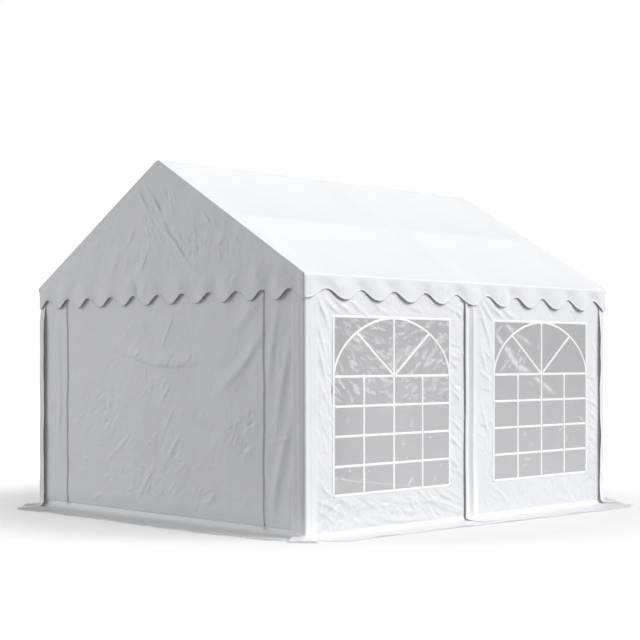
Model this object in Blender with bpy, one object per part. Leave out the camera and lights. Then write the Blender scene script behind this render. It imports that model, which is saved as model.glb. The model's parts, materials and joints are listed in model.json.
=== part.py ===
"""Marquee tent: a frame of round steel tube under a white PVC cover with scalloped valances.

Metres, +Z up. +X runs across the gables and +Y along the ridge, away from the front gable.
The origin is on the ground under the middle of the tent. Left is -X and right is +X.
"""
import math

import bmesh
import bpy
from mathutils import Vector

# The roof cover, over its outer faces
ROOF_WIDTH = 3.55
ROOF_LENGTH = 4.00
EAVE_HEIGHT = 2.02
RIDGE_HEIGHT = 3.05

# The valance hangs from the eaves, lowest at every corner
VALANCE_DROP = 0.158
SCALLOP_SWING = 0.047
GABLE_SCALLOPS = 11
SIDE_SCALLOPS = 10
POINTS_PER_SCALLOP = 12

# Sheet walls, hung inside the valance
SHEET = 0.003
GAP = 0.0003
WALL_INSET = 0.020
WALL_TOP = 2.00
ZIP_FROM_CENTRE = 1.32
WINDOW_SIZE = 1.40
WINDOW_SILL = 0.30
WINDOW_FROM_CENTRE = 0.99

# Strips over the posts
COVER_TOP = 1.99
POST_COVER_WIDTH = 0.18
POST_COVER_BULGE = 0.010
POST_COVER_STEPS = 8
SLEEVE_BEND_STEPS = 6
FOOT_REACH = 0.21
FOOT_SIDE_STEP = 0.045

# Flaps that lie on the ground: how far each reaches at even steps along its wall
FLAP_REACH = {
    "front": (0.35, 0.29, 0.31, 0.21),
    "back": (0.21, 0.31, 0.29, 0.35),
    "left": (0.23, 0.31, 0.38, 0.41),
    "right": (0.23, 0.31, 0.38, 0.41),
}
FLAP_CHAMFER = 0.06

# Steel frame
TUBE_RADIUS = 0.019
SOCKET_RADIUS = 0.022
SOCKET_REACH = 0.12
SOCKET_BACK = 0.005
PURLIN_SHARE = 0.5
COLLAR_REACH = 0.06
TUBE_SIDES = 16
PLATE_SIZE = 0.12
PLATE_THICK = 0.004
PLATE_CORNER_CUT = 0.012
PEG_HOLE_RADIUS = 0.006
PEG_HOLE_INSET = 0.022
PEG_HOLE_POINTS = 12

# How the shapes are made
SMOOTH_ANGLE = math.radians(40)
WELD_DISTANCE = 0.00001
CUT_MARGIN = 0.01

HALF_WIDTH = ROOF_WIDTH / 2
HALF_LENGTH = ROOF_LENGTH / 2
SLOPE = math.atan2(RIDGE_HEIGHT - EAVE_HEIGHT, HALF_WIDTH)
WALL_X = HALF_WIDTH - WALL_INSET
WALL_Y = HALF_LENGTH - WALL_INSET
SHEET_TO_TUBE = SHEET + GAP + SOCKET_RADIUS
FRAME_X = WALL_X - SHEET_TO_TUBE
FRAME_Y = WALL_Y - SHEET_TO_TUBE
UNDER_ROOF = SHEET_TO_TUBE / math.cos(SLOPE)
RIDGE_TUBE_Z = RIDGE_HEIGHT - UNDER_ROOF
EAVE_TUBE_Z = RIDGE_TUBE_Z - FRAME_X * math.tan(SLOPE)
SOCKET_END = SOCKET_REACH + GAP

SIDES = {"left": -1, "right": 1}
FRAMES = {"front": -1, "middle": 0, "back": 1}
ENDS = {"front": -1, "back": 1}

# How far each corner sleeve covers the gable wall and the long wall
SLEEVE_LEGS = {
    ("front", "right"): (0.13, 0.13),
    ("front", "left"): (0.07, 0.13),
    ("back", "right"): (0.13, 0.08),
    ("back", "left"): (0.13, 0.13),
}

# A flat outline is drawn in one of these planes and given its thickness across it
PLANE_TURN = {
    "XY": (0, 0, 0),
    "XZ": (math.pi / 2, 0, 0),
    "YZ": (math.pi / 2, 0, math.pi / 2),
}
PLANE_ACROSS = {"XY": Vector((0, 0, 1)), "XZ": Vector((0, 1, 0)), "YZ": Vector((1, 0, 0))}


def clear_scene():
    for obj in list(bpy.data.objects):
        bpy.data.objects.remove(obj)


def new_collection(name):
    collection = bpy.data.collections.new(name)
    bpy.context.scene.collection.children.link(collection)
    return collection


def new_material(name, colour, roughness, metallic=0.0):
    material = bpy.data.materials.new(name)
    material.use_nodes = True
    shader = material.node_tree.nodes["Principled BSDF"]
    shader.inputs["Base Color"].default_value = (*colour, 1.0)
    shader.inputs["Roughness"].default_value = roughness
    shader.inputs["Metallic"].default_value = metallic
    return material


clear_scene()
TENT = new_collection("marquee_tent")
CUTTERS = new_collection("cutters")
COVER = new_material("white_pvc", (0.86, 0.87, 0.88), 0.45)
FILM = new_material("clear_film", (0.58, 0.59, 0.60), 0.15)
STEEL = new_material("galvanised_steel", (0.55, 0.56, 0.57), 0.40, 1.0)


def place(name, data, material):
    obj = bpy.data.objects.new(name, data)
    obj.data.materials.append(material)
    TENT.objects.link(obj)
    return obj


def apply_shape(obj, weld=False):
    """Give the object its evaluated mesh, with a curve's loose caps welded on."""
    graph = bpy.context.evaluated_depsgraph_get()
    graph.update()
    mesh = bpy.data.meshes.new_from_object(obj.evaluated_get(graph))
    if weld:
        shape = bmesh.new()
        shape.from_mesh(mesh)
        bmesh.ops.remove_doubles(shape, verts=shape.verts, dist=WELD_DISTANCE)
        shape.to_mesh(mesh)
        shape.free()
    return mesh


def outline_curve(name, outlines, low, high, plane, material):
    """A flat plate from closed outlines, the first its edge and the others its holes."""
    curve = bpy.data.curves.new(name, "CURVE")
    curve.dimensions = "2D"
    curve.fill_mode = "BOTH"
    curve.extrude = (high - low) / 2
    for outline in outlines:
        spline = curve.splines.new("POLY")
        spline.points.add(len(outline) - 1)
        for point, (across, along) in zip(spline.points, outline):
            point.co = (across, along, 0, 1)
        spline.use_cyclic_u = True
    obj = place(name, curve, material)
    obj.rotation_euler = PLANE_TURN[plane]
    obj.location = PLANE_ACROSS[plane] * (low + high) / 2
    return obj


def plate(name, outlines, low, high, plane, material):
    """The same plate as a mesh, which can be cut and joined."""
    flat = outline_curve(name, outlines, low, high, plane, material)
    mesh = apply_shape(flat, weld=True)
    matrix = flat.matrix_world.copy()
    bpy.data.objects.remove(flat)
    obj = place(name, mesh, material)
    obj.data.materials.clear()
    obj.data.materials.append(material)
    obj.matrix_world = matrix
    return obj


def tube(name, start, end, radius):
    start, end = Vector(start), Vector(end)
    run = end - start
    mesh = bpy.data.meshes.new(name)
    shape = bmesh.new()
    bmesh.ops.create_cone(
        shape,
        cap_ends=True,
        segments=TUBE_SIDES,
        radius1=radius,
        radius2=radius,
        depth=run.length,
    )
    shape.to_mesh(mesh)
    shape.free()
    mesh.shade_smooth()
    mesh.set_sharp_from_angle(angle=SMOOTH_ANGLE)
    obj = place(name, mesh, STEEL)
    obj.rotation_euler = run.to_track_quat("Z", "Y").to_euler()
    obj.location = (start + end) / 2
    return obj


def fuse(target, others):
    """Join other solids to the target and remove them."""
    for other in others:
        joint = target.modifiers.new("join", "BOOLEAN")
        joint.operation = "UNION"
        joint.solver = "EXACT"
        joint.object = other
    mesh = apply_shape(target)
    target.modifiers.clear()
    target.data = mesh
    for other in others:
        bpy.data.objects.remove(other)
    return target


def cut(target, cutter):
    """Cut one solid out of another, and keep the cutter as a guide."""
    slot = target.modifiers.new("cut", "BOOLEAN")
    slot.operation = "DIFFERENCE"
    slot.solver = "EXACT"
    slot.object = cutter
    TENT.objects.unlink(cutter)
    CUTTERS.objects.link(cutter)
    cutter.hide_render = True
    cutter.display_type = "WIRE"
    cutter.data.materials.clear()


def rectangle(low_across, high_across, low_along, high_along):
    return [
        (low_across, low_along),
        (high_across, low_along),
        (high_across, high_along),
        (low_across, high_along),
    ]


def cut_cornered(low_across, high_across, low_along, high_along, corner):
    """A rectangle with its four corners cut off at 45 degrees."""
    return [
        (low_across + corner, low_along),
        (high_across - corner, low_along),
        (high_across, low_along + corner),
        (high_across, high_along - corner),
        (high_across - corner, high_along),
        (low_across + corner, high_along),
        (low_across, high_along - corner),
        (low_across, low_along + corner),
    ]


def scalloped_edge(half, scallops):
    """Points of a valance's lower edge from -half to half, lowest at both ends."""
    steps = scallops * POINTS_PER_SCALLOP
    points = []
    for step in range(steps + 1):
        share = step / steps
        drop = VALANCE_DROP + SCALLOP_SWING * math.cos(2 * math.pi * scallops * share)
        points.append((half * (2 * share - 1), EAVE_HEIGHT - drop))
    return points


def eave_hub(side, frame):
    return Vector((SIDES[side] * FRAME_X, FRAMES[frame] * FRAME_Y, EAVE_TUBE_Z))


def ridge_hub(frame):
    return Vector((0, FRAMES[frame] * FRAME_Y, RIDGE_TUBE_Z))


def up_slope(side):
    return Vector((-SIDES[side] * math.cos(SLOPE), 0, math.sin(SLOPE)))


def socket_run(way):
    """A socket from just behind the hub to its mouth, as two offsets from the hub."""
    return (-way * SOCKET_BACK, way * SOCKET_REACH)


def ridgeways_run(frame):
    """The socket along the ridge: it runs through the middle frame, and into the tent at an end."""
    way = Vector((0, 1, 0))
    if frame == "middle":
        return (-way * SOCKET_REACH, way * SOCKET_REACH)
    return socket_run(-FRAMES[frame] * way)


def connector(name, hub, runs):
    """Short sockets welded together round a hub, one for each tube."""
    sockets = [
        tube(f"{name}_{index}", hub + back, hub + mouth, SOCKET_RADIUS)
        for index, (back, mouth) in enumerate(runs)
    ]
    first, others = sockets[0], sockets[1:]
    first.name = name
    return fuse(first, others)


def foot_plate(name, side, frame):
    """A square plate set inwards from the post, with two peg holes."""
    outer_x = FRAME_X + SOCKET_RADIUS
    inner_x = outer_x - PLATE_SIZE
    if frame == "middle":
        low_y, high_y = -PLATE_SIZE / 2, PLATE_SIZE / 2
    else:
        outer_y = FRAME_Y + SOCKET_RADIUS
        low_y, high_y = sorted(FRAMES[frame] * y for y in (outer_y, outer_y - PLATE_SIZE))
    low_x, high_x = sorted(SIDES[side] * x for x in (inner_x, outer_x))
    peg_x = SIDES[side] * (inner_x + PEG_HOLE_INSET)
    holes = []
    for peg_y in (low_y + PEG_HOLE_INSET, high_y - PEG_HOLE_INSET):
        turns = [2 * math.pi * index / PEG_HOLE_POINTS for index in range(PEG_HOLE_POINTS)]
        holes.append(
            [
                (peg_x + PEG_HOLE_RADIUS * math.cos(turn), peg_y + PEG_HOLE_RADIUS * math.sin(turn))
                for turn in turns
            ]
        )
    edge = cut_cornered(low_x, high_x, low_y, high_y, PLATE_CORNER_CUT)
    return plate(name, [edge, *holes], 0, PLATE_THICK, "XY", STEEL)


def make_post(side, frame):
    name = f"post_{frame}_{side}"
    hub = eave_hub(side, frame)
    foot = Vector((hub.x, hub.y, PLATE_THICK / 2))
    post = tube(name, foot, hub - Vector((0, 0, SOCKET_END)), TUBE_RADIUS)
    return fuse(post, [foot_plate(f"{name}_plate", side, frame)])


def make_eave_connector(side, frame):
    down = Vector((0, 0, -1))
    runs = [ridgeways_run(frame), socket_run(down), socket_run(up_slope(side))]
    if frame != "middle":
        across = Vector((-SIDES[side], 0, 0))
        runs.append(socket_run(across))
    return connector(f"eave_connector_{frame}_{side}", eave_hub(side, frame), runs)


def make_ridge_connector(frame):
    runs = [ridgeways_run(frame), socket_run(-up_slope("left")), socket_run(-up_slope("right"))]
    return connector(f"ridge_connector_{frame}", ridge_hub(frame), runs)


def tube_between(name, start, end):
    """A tube that fills the space between two connectors' sockets."""
    way = (end - start).normalized()
    return tube(name, start + way * SOCKET_END, end - way * SOCKET_END, TUBE_RADIUS)


def make_purlin(side):
    """A tube half way down a slope, with a collar round each rafter that it meets."""
    name = f"purlin_{side}"
    way = up_slope(side)
    hubs = [eave_hub(side, frame).lerp(ridge_hub(frame), PURLIN_SHARE) for frame in FRAMES]
    bar = tube(name, hubs[0], hubs[-1], TUBE_RADIUS)
    collars = []
    for index, hub in enumerate(hubs):
        reach = way * COLLAR_REACH
        collars.append(tube(f"{name}_collar_{index}", hub - reach, hub + reach, SOCKET_RADIUS))
    fuse(bar, collars)
    for index, hub in enumerate(hubs):
        reach = way * (COLLAR_REACH + CUT_MARGIN)
        cut(bar, tube(f"{name}_bore_{index}", hub - reach, hub + reach, TUBE_RADIUS + GAP))


def make_frame():
    for side in SIDES:
        make_purlin(side)
    for frame in FRAMES:
        make_ridge_connector(frame)
        for side in SIDES:
            make_post(side, frame)
            make_eave_connector(side, frame)
            tube_between(f"rafter_{frame}_{side}", eave_hub(side, frame), ridge_hub(frame))
    for end in ENDS:
        tube_between(f"ridge_tube_{end}", ridge_hub(end), ridge_hub("middle"))
        tube_between(f"gable_tube_{end}", eave_hub("left", end), eave_hub("right", end))
        for side in SIDES:
            tube_between(f"eave_tube_{end}_{side}", eave_hub(side, end), eave_hub(side, "middle"))


def make_roof_slope(side):
    """One slope and the valance under its eave, with the scallops cut out of the valance."""
    way = SIDES[side]
    under = SHEET / math.cos(SLOPE)
    inner = HALF_WIDTH - SHEET
    lowest = EAVE_HEIGHT - VALANCE_DROP - SCALLOP_SWING
    profile = [
        (GAP / 2, RIDGE_HEIGHT),
        (HALF_WIDTH, EAVE_HEIGHT),
        (HALF_WIDTH, lowest),
        (inner, lowest),
        (inner, RIDGE_HEIGHT - under - inner * math.tan(SLOPE)),
        (GAP / 2, RIDGE_HEIGHT - under),
    ]
    half = HALF_LENGTH - SHEET - GAP
    outline = [(way * across, along) for across, along in profile]
    slope = plate(f"roof_slope_{side}", [outline], -half, half, "XZ", COVER)
    edge = scalloped_edge(half, SIDE_SCALLOPS)
    past = half + CUT_MARGIN
    below = [(past, lowest - CUT_MARGIN), (-past, lowest - CUT_MARGIN)]
    wave = [(-past, lowest), *edge, (past, lowest), *below]
    low, high = sorted((way * (inner - CUT_MARGIN), way * (HALF_WIDTH + CUT_MARGIN)))
    cut(slope, plate(f"scallops_{side}", [wave], low, high, "YZ", COVER))


def make_gable(end):
    """The gable triangle and the scalloped valance under it."""
    edge = scalloped_edge(HALF_WIDTH, GABLE_SCALLOPS)
    outline = [(HALF_WIDTH, EAVE_HEIGHT), (0, RIDGE_HEIGHT), (-HALF_WIDTH, EAVE_HEIGHT), *edge]
    low, high = sorted((ENDS[end] * (HALF_LENGTH - SHEET), ENDS[end] * HALF_LENGTH))
    outline_curve(f"gable_{end}", [outline], low, high, "XZ", COVER)


def make_side_wall(side, end):
    """A wall panel with its window cut through, and the clear film that fills it."""
    low, high = sorted((SIDES[side] * (WALL_X - SHEET), SIDES[side] * WALL_X))
    low_y, high_y = sorted((ENDS[end] * GAP / 2, ENDS[end] * FRAME_Y))
    name = f"side_wall_{end}_{side}"
    wall = plate(name, [rectangle(low_y, high_y, 0, WALL_TOP)], low, high, "YZ", COVER)
    centre = ENDS[end] * WINDOW_FROM_CENTRE
    half = WINDOW_SIZE / 2
    top = WINDOW_SILL + WINDOW_SIZE
    hole = [rectangle(centre - half, centre + half, WINDOW_SILL, top)]
    cut(wall, plate(f"{name}_hole", hole, low - SHEET, high + SHEET, "YZ", COVER))
    film = [rectangle(centre - half + GAP, centre + half - GAP, WINDOW_SILL + GAP, top - GAP)]
    outline_curve(f"window_{end}_{side}", film, low, high, "YZ", FILM)


def make_gable_wall(end):
    """A door panel between two zips, and a strip on each side of it."""
    low, high = sorted((ENDS[end] * (WALL_Y - SHEET), ENDS[end] * WALL_Y))
    door_edge = ZIP_FROM_CENTRE - GAP / 2
    door = [rectangle(-door_edge, door_edge, 0, WALL_TOP)]
    outline_curve(f"door_{end}", door, low, high, "XZ", COVER)
    for side, way in SIDES.items():
        edges = sorted((way * (ZIP_FROM_CENTRE + GAP / 2), way * FRAME_X))
        strip = [rectangle(*edges, 0, WALL_TOP)]
        outline_curve(f"gable_strip_{end}_{side}", strip, low, high, "XZ", COVER)


def make_corner_sleeve(end, side):
    """A sheet wrapped round a corner post, with a foot that spreads on the ground."""
    way_x, way_y = SIDES[side], ENDS[end]
    gable_leg, side_leg = SLEEVE_LEGS[(end, side)]
    inner_radius = SHEET_TO_TUBE + GAP
    outer_radius = inner_radius + SHEET

    def bend(radius, steps):
        for step in steps:
            turn = math.pi / 2 * step / SLEEVE_BEND_STEPS
            yield (FRAME_X + radius * math.sin(turn), FRAME_Y + radius * math.cos(turn))

    forward = range(SLEEVE_BEND_STEPS + 1)
    leg_x, leg_y = WALL_X - gable_leg, WALL_Y - side_leg
    outer = [(leg_x, FRAME_Y + outer_radius), *bend(outer_radius, forward)]
    outer.append((FRAME_X + outer_radius, leg_y))
    inner = [(FRAME_X + inner_radius, leg_y), *bend(inner_radius, reversed(forward))]
    inner.append((leg_x, FRAME_Y + inner_radius))
    profile = [(way_x * x, way_y * y) for x, y in outer + inner]
    name = f"corner_sleeve_{end}_{side}"
    sleeve = plate(name, [profile], SHEET / 2, COVER_TOP, "XY", COVER)
    foot = [
        (leg_x, FRAME_Y + inner_radius),
        (WALL_X + FOOT_SIDE_STEP, WALL_Y + FOOT_REACH),
        (WALL_X + FOOT_REACH, WALL_Y + FOOT_SIDE_STEP),
        (FRAME_X + inner_radius, leg_y),
        *bend(inner_radius, reversed(forward)),
    ]
    outline = [(way_x * x, way_y * y) for x, y in foot]
    fuse(sleeve, [plate(f"{name}_foot", [outline], 0, SHEET, "XY", COVER)])


def make_post_cover(side):
    """A strip over the seam between two wall panels, bowed out by the middle post."""
    half = POST_COVER_WIDTH / 2
    places = [
        half * (2 * step / POST_COVER_STEPS - 1) for step in range(POST_COVER_STEPS + 1)
    ]

    def bow(depth, along):
        return [
            (SIDES[side] * (WALL_X + depth + POST_COVER_BULGE * (1 - (y / half) ** 2)), y)
            for y in along
        ]

    profile = bow(GAP + SHEET, places) + bow(GAP, reversed(places))
    outline_curve(f"post_cover_{side}", [profile], SHEET + GAP, COVER_TOP, "XY", COVER)


def flap_outline(low, high, wall, way, reaches):
    """A flap from its edge at the wall to its free edge, with the free corners cut off."""
    near = wall + GAP
    steps = len(reaches) - 1
    middle = [
        (low + (high - low) * step / steps, wall + reach)
        for step, reach in enumerate(reaches)
        if 0 < step < steps
    ]
    outline = [
        (low, near),
        (low, wall + reaches[0] - FLAP_CHAMFER),
        (low + FLAP_CHAMFER, wall + reaches[0]),
        *middle,
        (high - FLAP_CHAMFER, wall + reaches[-1]),
        (high, wall + reaches[-1] - FLAP_CHAMFER),
        (high, near),
    ]
    return [(along, way * out) for along, out in outline]


def make_flaps():
    for end, way in ENDS.items():
        low = -(WALL_X - SLEEVE_LEGS[(end, "left")][0] - GAP)
        high = WALL_X - SLEEVE_LEGS[(end, "right")][0] - GAP
        outline = flap_outline(low, high, WALL_Y, way, FLAP_REACH[end])
        outline_curve(f"ground_flap_{end}", [outline], 0, SHEET, "XY", COVER)
    for side, way in SIDES.items():
        low = -(WALL_Y - SLEEVE_LEGS[("front", side)][1] - GAP)
        high = WALL_Y - SLEEVE_LEGS[("back", side)][1] - GAP
        outline = flap_outline(low, high, WALL_X, way, FLAP_REACH[side])
        turned = [(across, along) for along, across in outline]
        outline_curve(f"ground_flap_{side}", [turned], 0, SHEET, "XY", COVER)


def make_covers():
    for side in SIDES:
        make_roof_slope(side)
        make_post_cover(side)
        for end in ENDS:
            make_side_wall(side, end)
            make_corner_sleeve(end, side)
    for end in ENDS:
        make_gable(end)
        make_gable_wall(end)
    make_flaps()


make_frame()
make_covers()
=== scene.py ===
"""Looks of the marquee tent: white PVC sheets, crinkled clear windows and zips over a steel frame.

Metres, +Z up. +X runs across the gables and +Y along the ridge, away from the front gable.
On an upright side s runs along it and h up, and out is how far a place lies off its plane.
"""
import json
import math
from collections import namedtuple

import bmesh
import bpy
import numpy as np
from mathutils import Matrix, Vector


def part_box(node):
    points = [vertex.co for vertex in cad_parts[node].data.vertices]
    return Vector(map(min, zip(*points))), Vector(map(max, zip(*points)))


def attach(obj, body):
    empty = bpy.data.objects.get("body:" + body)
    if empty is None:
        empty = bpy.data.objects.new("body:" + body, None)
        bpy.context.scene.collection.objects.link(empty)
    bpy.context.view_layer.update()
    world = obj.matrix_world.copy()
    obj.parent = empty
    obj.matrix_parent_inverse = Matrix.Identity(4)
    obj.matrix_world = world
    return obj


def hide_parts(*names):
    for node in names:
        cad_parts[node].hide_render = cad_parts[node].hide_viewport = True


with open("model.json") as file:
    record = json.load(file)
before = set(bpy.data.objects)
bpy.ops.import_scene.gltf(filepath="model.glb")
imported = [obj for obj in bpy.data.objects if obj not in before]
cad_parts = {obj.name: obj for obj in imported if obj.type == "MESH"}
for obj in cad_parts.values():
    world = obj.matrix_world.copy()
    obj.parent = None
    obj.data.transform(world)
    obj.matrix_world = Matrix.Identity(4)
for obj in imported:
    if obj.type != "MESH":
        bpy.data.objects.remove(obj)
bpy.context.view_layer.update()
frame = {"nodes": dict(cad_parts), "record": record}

# Sizes read from the frame
roof_low, roof_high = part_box("roof_slope_right")
window_low, window_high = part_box("window_front_right")
door_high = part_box("door_back")[1]
cover_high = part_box("post_cover_right")[1]
HALF_WIDTH, RIDGE = roof_high.x, roof_high.z
HALF_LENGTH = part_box("gable_back")[1].y
WALL_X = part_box("side_wall_front_right")[1].x
ZIP, WALL_Y, WALL_TOP = door_high
COVER_HALF, COVER_TOP = cover_high.y, cover_high.z
POST_X = sum(corner.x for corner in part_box("eave_tube_front_right")) / 2
POST_Y = sum(corner.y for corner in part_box("gable_tube_back")) / 2
WINDOW_CENTRE = -(window_low.y + window_high.y) / 2
WINDOW_HALF = (window_high.y - window_low.y) / 2
SILL, HEAD = window_low.z, window_high.z

ENDS = {"front": -1, "back": 1}
SIDES = {"left": -1, "right": 1}
UP = np.array((0.0, 0.0, 1.0))

# The photographed gable and long side have a seed and a finer grid of their own
GABLE_SEEDS = {"front": 21, "back": 22}
SIDE_SEEDS = {"left": 12, "right": 11}
FILM_SEEDS = {"left": 32, "right": 31}
GABLE_TOP_SEEDS = {"front": 61, "back": 62}
CELLS = {"front": 0.0090, "back": 0.0160, "left": 0.0160, "right": 0.0090}
FILM_CELLS = {"left": 0.018, "right": 0.0098}
# Columns for each scallop of a gable, and rows from its eave to its ridge
GABLE_TOP_GRIDS = {"front": (34, 108), "back": (22, 64)}


def smooth(value, low, high):
    """0 at low, 1 at high, and a smooth rise between."""
    share = np.clip((value - low) / (high - low), 0.0, 1.0)
    return share * share * (3 - 2 * share)


def mixed(first, second, share):
    return first + (second - first) * share


class Face:
    """An upright side of the tent, given by two directions and how far it lies from the middle."""

    def __init__(self, along, out, plane):
        self.along, self.out, self.plane = np.array(along, float), np.array(out, float), plane
        self.mirrored = np.dot(np.cross(self.along, UP), self.out) < 0

    def place(self, s, h, out):
        s, h, out = (value[..., None] for value in np.broadcast_arrays(s, h, out))
        return s * self.along + h * UP + (self.plane + out) * self.out


GABLE_WALLS = {end: Face((-way, 0, 0), (0, way, 0), WALL_Y) for end, way in ENDS.items()}
SIDE_WALLS = {side: Face((0, 1, 0), (way, 0, 0), WALL_X) for side, way in SIDES.items()}


# Materials


class Value:
    """What comes out of a socket. Sums with it add Math nodes."""

    def __init__(self, nodes, socket):
        self.nodes = nodes
        self.socket = socket

    def __add__(self, other):
        return self.nodes.sum("ADD", self, other)

    def __sub__(self, other):
        return self.nodes.sum("SUBTRACT", self, other)

    def __rsub__(self, other):
        return self.nodes.sum("SUBTRACT", other, self)

    def __mul__(self, other):
        return self.nodes.sum("MULTIPLY", self, other)

    __radd__ = __add__
    __rmul__ = __mul__


def colour(value):
    """A colour for a socket, from a grey, three numbers or what comes out of another socket."""
    if isinstance(value, Value):
        return value
    return (*value, 1.0) if isinstance(value, tuple) else (value, value, value, 1.0)


class Nodes:
    """A node tree that is filled by calls."""

    def __init__(self, tree):
        self.tree = tree
        self.tree.nodes.clear()

    def add(self, kind, settings=None, inputs=None, output=0):
        node = self.tree.nodes.new(kind)
        for name, value in (settings or {}).items():
            if name == "stops":
                self.set_stops(node.color_ramp, value)
            else:
                setattr(node, name, value)
        named = {socket.name: socket for socket in node.inputs if socket.enabled}
        named.update({socket.identifier: socket for socket in node.inputs})
        for name, value in (inputs or {}).items():
            if isinstance(value, Value):
                self.tree.links.new(value.socket, named[name])
            else:
                named[name].default_value = value
        sent = dict(enumerate(node.outputs))
        sent.update({socket.identifier: socket for socket in node.outputs})
        return Value(self, sent.get(output))

    def set_stops(self, ramp, stops):
        while len(ramp.elements) < len(stops):
            ramp.elements.new(1.0)
        for element, (position, level) in zip(ramp.elements, stops):
            element.position = position
            element.color = colour(level)

    def sum(self, operation, first, second):
        inputs = {"Value": first, "Value_001": second}
        return self.add("ShaderNodeMath", {"operation": operation}, inputs)

    def size(self, value):
        return self.add("ShaderNodeMath", {"operation": "ABSOLUTE"}, {"Value": value})

    def blend(self, share, first, second):
        """A colour between two colours."""
        inputs = {"Factor_Float": share, "A_Color": colour(first), "B_Color": colour(second)}
        return self.add("ShaderNodeMix", {"data_type": "RGBA"}, inputs, "Result_Color")

    def noise(self, place, scale, detail=2.0, roughness=0.5, distortion=0.0):
        inputs = {"Vector": place, "Scale": scale, "Detail": detail}
        inputs.update({"Roughness": roughness, "Distortion": distortion})
        return self.add("ShaderNodeTexNoise", {}, inputs)

    def cells(self, place, scale, output=0):
        return self.add("ShaderNodeTexVoronoi", {}, {"Vector": place, "Scale": scale}, output)

    def ramp(self, value, stops):
        return self.add("ShaderNodeValToRGB", {"stops": stops}, {"Fac": value})

    def levels(self, value, low, high):
        """0 below low and 1 above high."""
        return self.ramp(value, [(low, 0.0), (high, 1.0)])

    def part(self, place, axis):
        """One coordinate of a place."""
        return self.add("ShaderNodeSeparateXYZ", {}, {"Vector": place}, axis)

    def within(self, place, axis, reach):
        """1 nearer to the middle than ten times the reach, and 0 further out."""
        return 1 - self.levels(0.1 * self.size(self.part(place, axis)), reach, reach + 0.006)

    def bump(self, height, distance, under=None):
        inputs = {"Height": height, "Distance": distance, "Strength": 1.0}
        if under is not None:
            inputs["Normal"] = under
        return self.add("ShaderNodeBump", {}, inputs)

    def stretched(self, place, turn, scale):
        """The place turned back and shrunk, so that a pattern is drawn out along one way."""
        inputs = {"Vector": place, "Rotation": turn, "Scale": scale}
        return self.add("ShaderNodeMapping", {"vector_type": "TEXTURE"}, inputs)

    def surface(self, base, roughness, others):
        inputs = {"Base Color": base, "Roughness": roughness, **others}
        shader = self.add("ShaderNodeBsdfPrincipled", {}, inputs)
        self.add("ShaderNodeOutputMaterial", {}, {"Surface": shader})


def new_finish(name):
    material = bpy.data.materials.new(name)
    material.use_nodes = True
    nodes = Nodes(material.node_tree)
    return material, nodes, nodes.add("ShaderNodeTexCoord", output="Object")


# The way that fine creases run: up to the right on a gable, up to the left on the right side
CREASE_TURN = (0.467, 0.65, 0.0)
CREASE_STRETCH = (1.0, 1.0, 1.8)
LARGE_CREASE = 0.010
SMALL_CREASE = 0.0030
WEAVE = 0.0002
GRIME = (0.74, 0.74, 0.72)
# How far a long wall's lower part is darkened by painted shade, by height, against the light
# bounced up from its flap
FOOT_PAINTED_SHADE = [(0.028, 0.0), (0.040, 1.0), (0.12, 0.85), (0.28, 0.5), (0.62, 0.0)]


def crumple(nodes, place, scale):
    """Soft facets between creases, as in a sheet that was folded small and pulled flat again."""
    bent = nodes.noise(place, scale * 0.7, detail=3.0, roughness=0.6, distortion=0.6)
    return bent * 0.7 + nodes.cells(place, scale) * 0.3


def scratches(nodes, place, scale, wide=0.10):
    """Thin short ridges that come in clusters."""
    waves = nodes.noise(place, scale, roughness=0.6, distortion=0.4)
    ridge = 1 - nodes.levels(nodes.size(waves - 0.5), 0.0, wide)
    return ridge * nodes.levels(nodes.noise(place, scale * 0.3, detail=1.0), 0.50, 0.66)


def pvc_finish(name, creases, shade, foot=None, specular=0.45):
    """Coated white sheet: faint marks in its colour, a half gloss, and creases at two sizes.

    foot is the darker colour painted on a wall's lower part above its flap: painted shade that
    evens out the light bounced up from the flap.
    """
    material, nodes, place = new_finish(name)
    leaning = nodes.stretched(place, CREASE_TURN, CREASE_STRETCH)
    broad = nodes.noise(place, 1.3, detail=3.0, roughness=0.55)
    grain = nodes.noise(place, 420.0, detail=1.0)
    dust = nodes.levels(nodes.noise(place, 5.0, detail=5.0, roughness=0.65), 0.45, 0.75)
    base = nodes.blend(broad, tuple(0.965 * v for v in shade), shade)
    # Painted shade: a long wall is darker towards its foot, against the light bounced up from its
    # flap
    if foot is not None:
        base = nodes.blend(nodes.ramp(nodes.part(place, "Z"), FOOT_PAINTED_SHADE), base, foot)
    large = nodes.bump(crumple(nodes, place, 5.0), LARGE_CREASE * creases)
    fine = 0.35 * scratches(nodes, leaning, 20.0) + 0.15 * crumple(nodes, leaning, 24.0)
    small = nodes.bump(fine, SMALL_CREASE * creases, large)
    base = nodes.blend(dust * 0.10, base, GRIME)
    others = {"Normal": nodes.bump(grain, WEAVE, small), "Specular IOR Level": specular}
    nodes.surface(base, 0.36 + 0.10 * broad + 0.08 * grain, others)
    return material


# The name of the film's painted highlight along its creases and on some facets, from 0 to 1
HIGHLIGHT_ATTRIBUTE = "creased"


def film_finish():
    """Soft clear sheet, clouded a little, with painted highlights that make it whiter along its
    creases and on some of its facets.
    """
    material, nodes, place = new_finish("clear_film")
    cloud = nodes.noise(place, 3.0, detail=4.0, roughness=0.6)
    # Painted highlight, read from the mesh: whiter along creases and on some facets
    highlight_paint = nodes.add("ShaderNodeAttribute", {"attribute_name": HIGHLIGHT_ATTRIBUTE}, {}, "Fac")
    patchy = nodes.levels(nodes.noise(place, 34.0, detail=3.0, roughness=0.6), 0.35, 0.62)
    highlight_streak = highlight_paint * (0.62 + 0.38 * patchy)
    base = nodes.blend(highlight_streak, (0.77, 0.77, 0.78), (0.95, 0.95, 0.96))
    others = {
        "Alpha": 0.54 + 0.08 * cloud + 0.26 * highlight_streak,
        "Normal": nodes.bump(crumple(nodes, place, 16.0), 0.0025),
        "IOR": 1.5,
    }
    nodes.surface(base, 0.07 + 0.10 * cloud, others)
    return material


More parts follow.
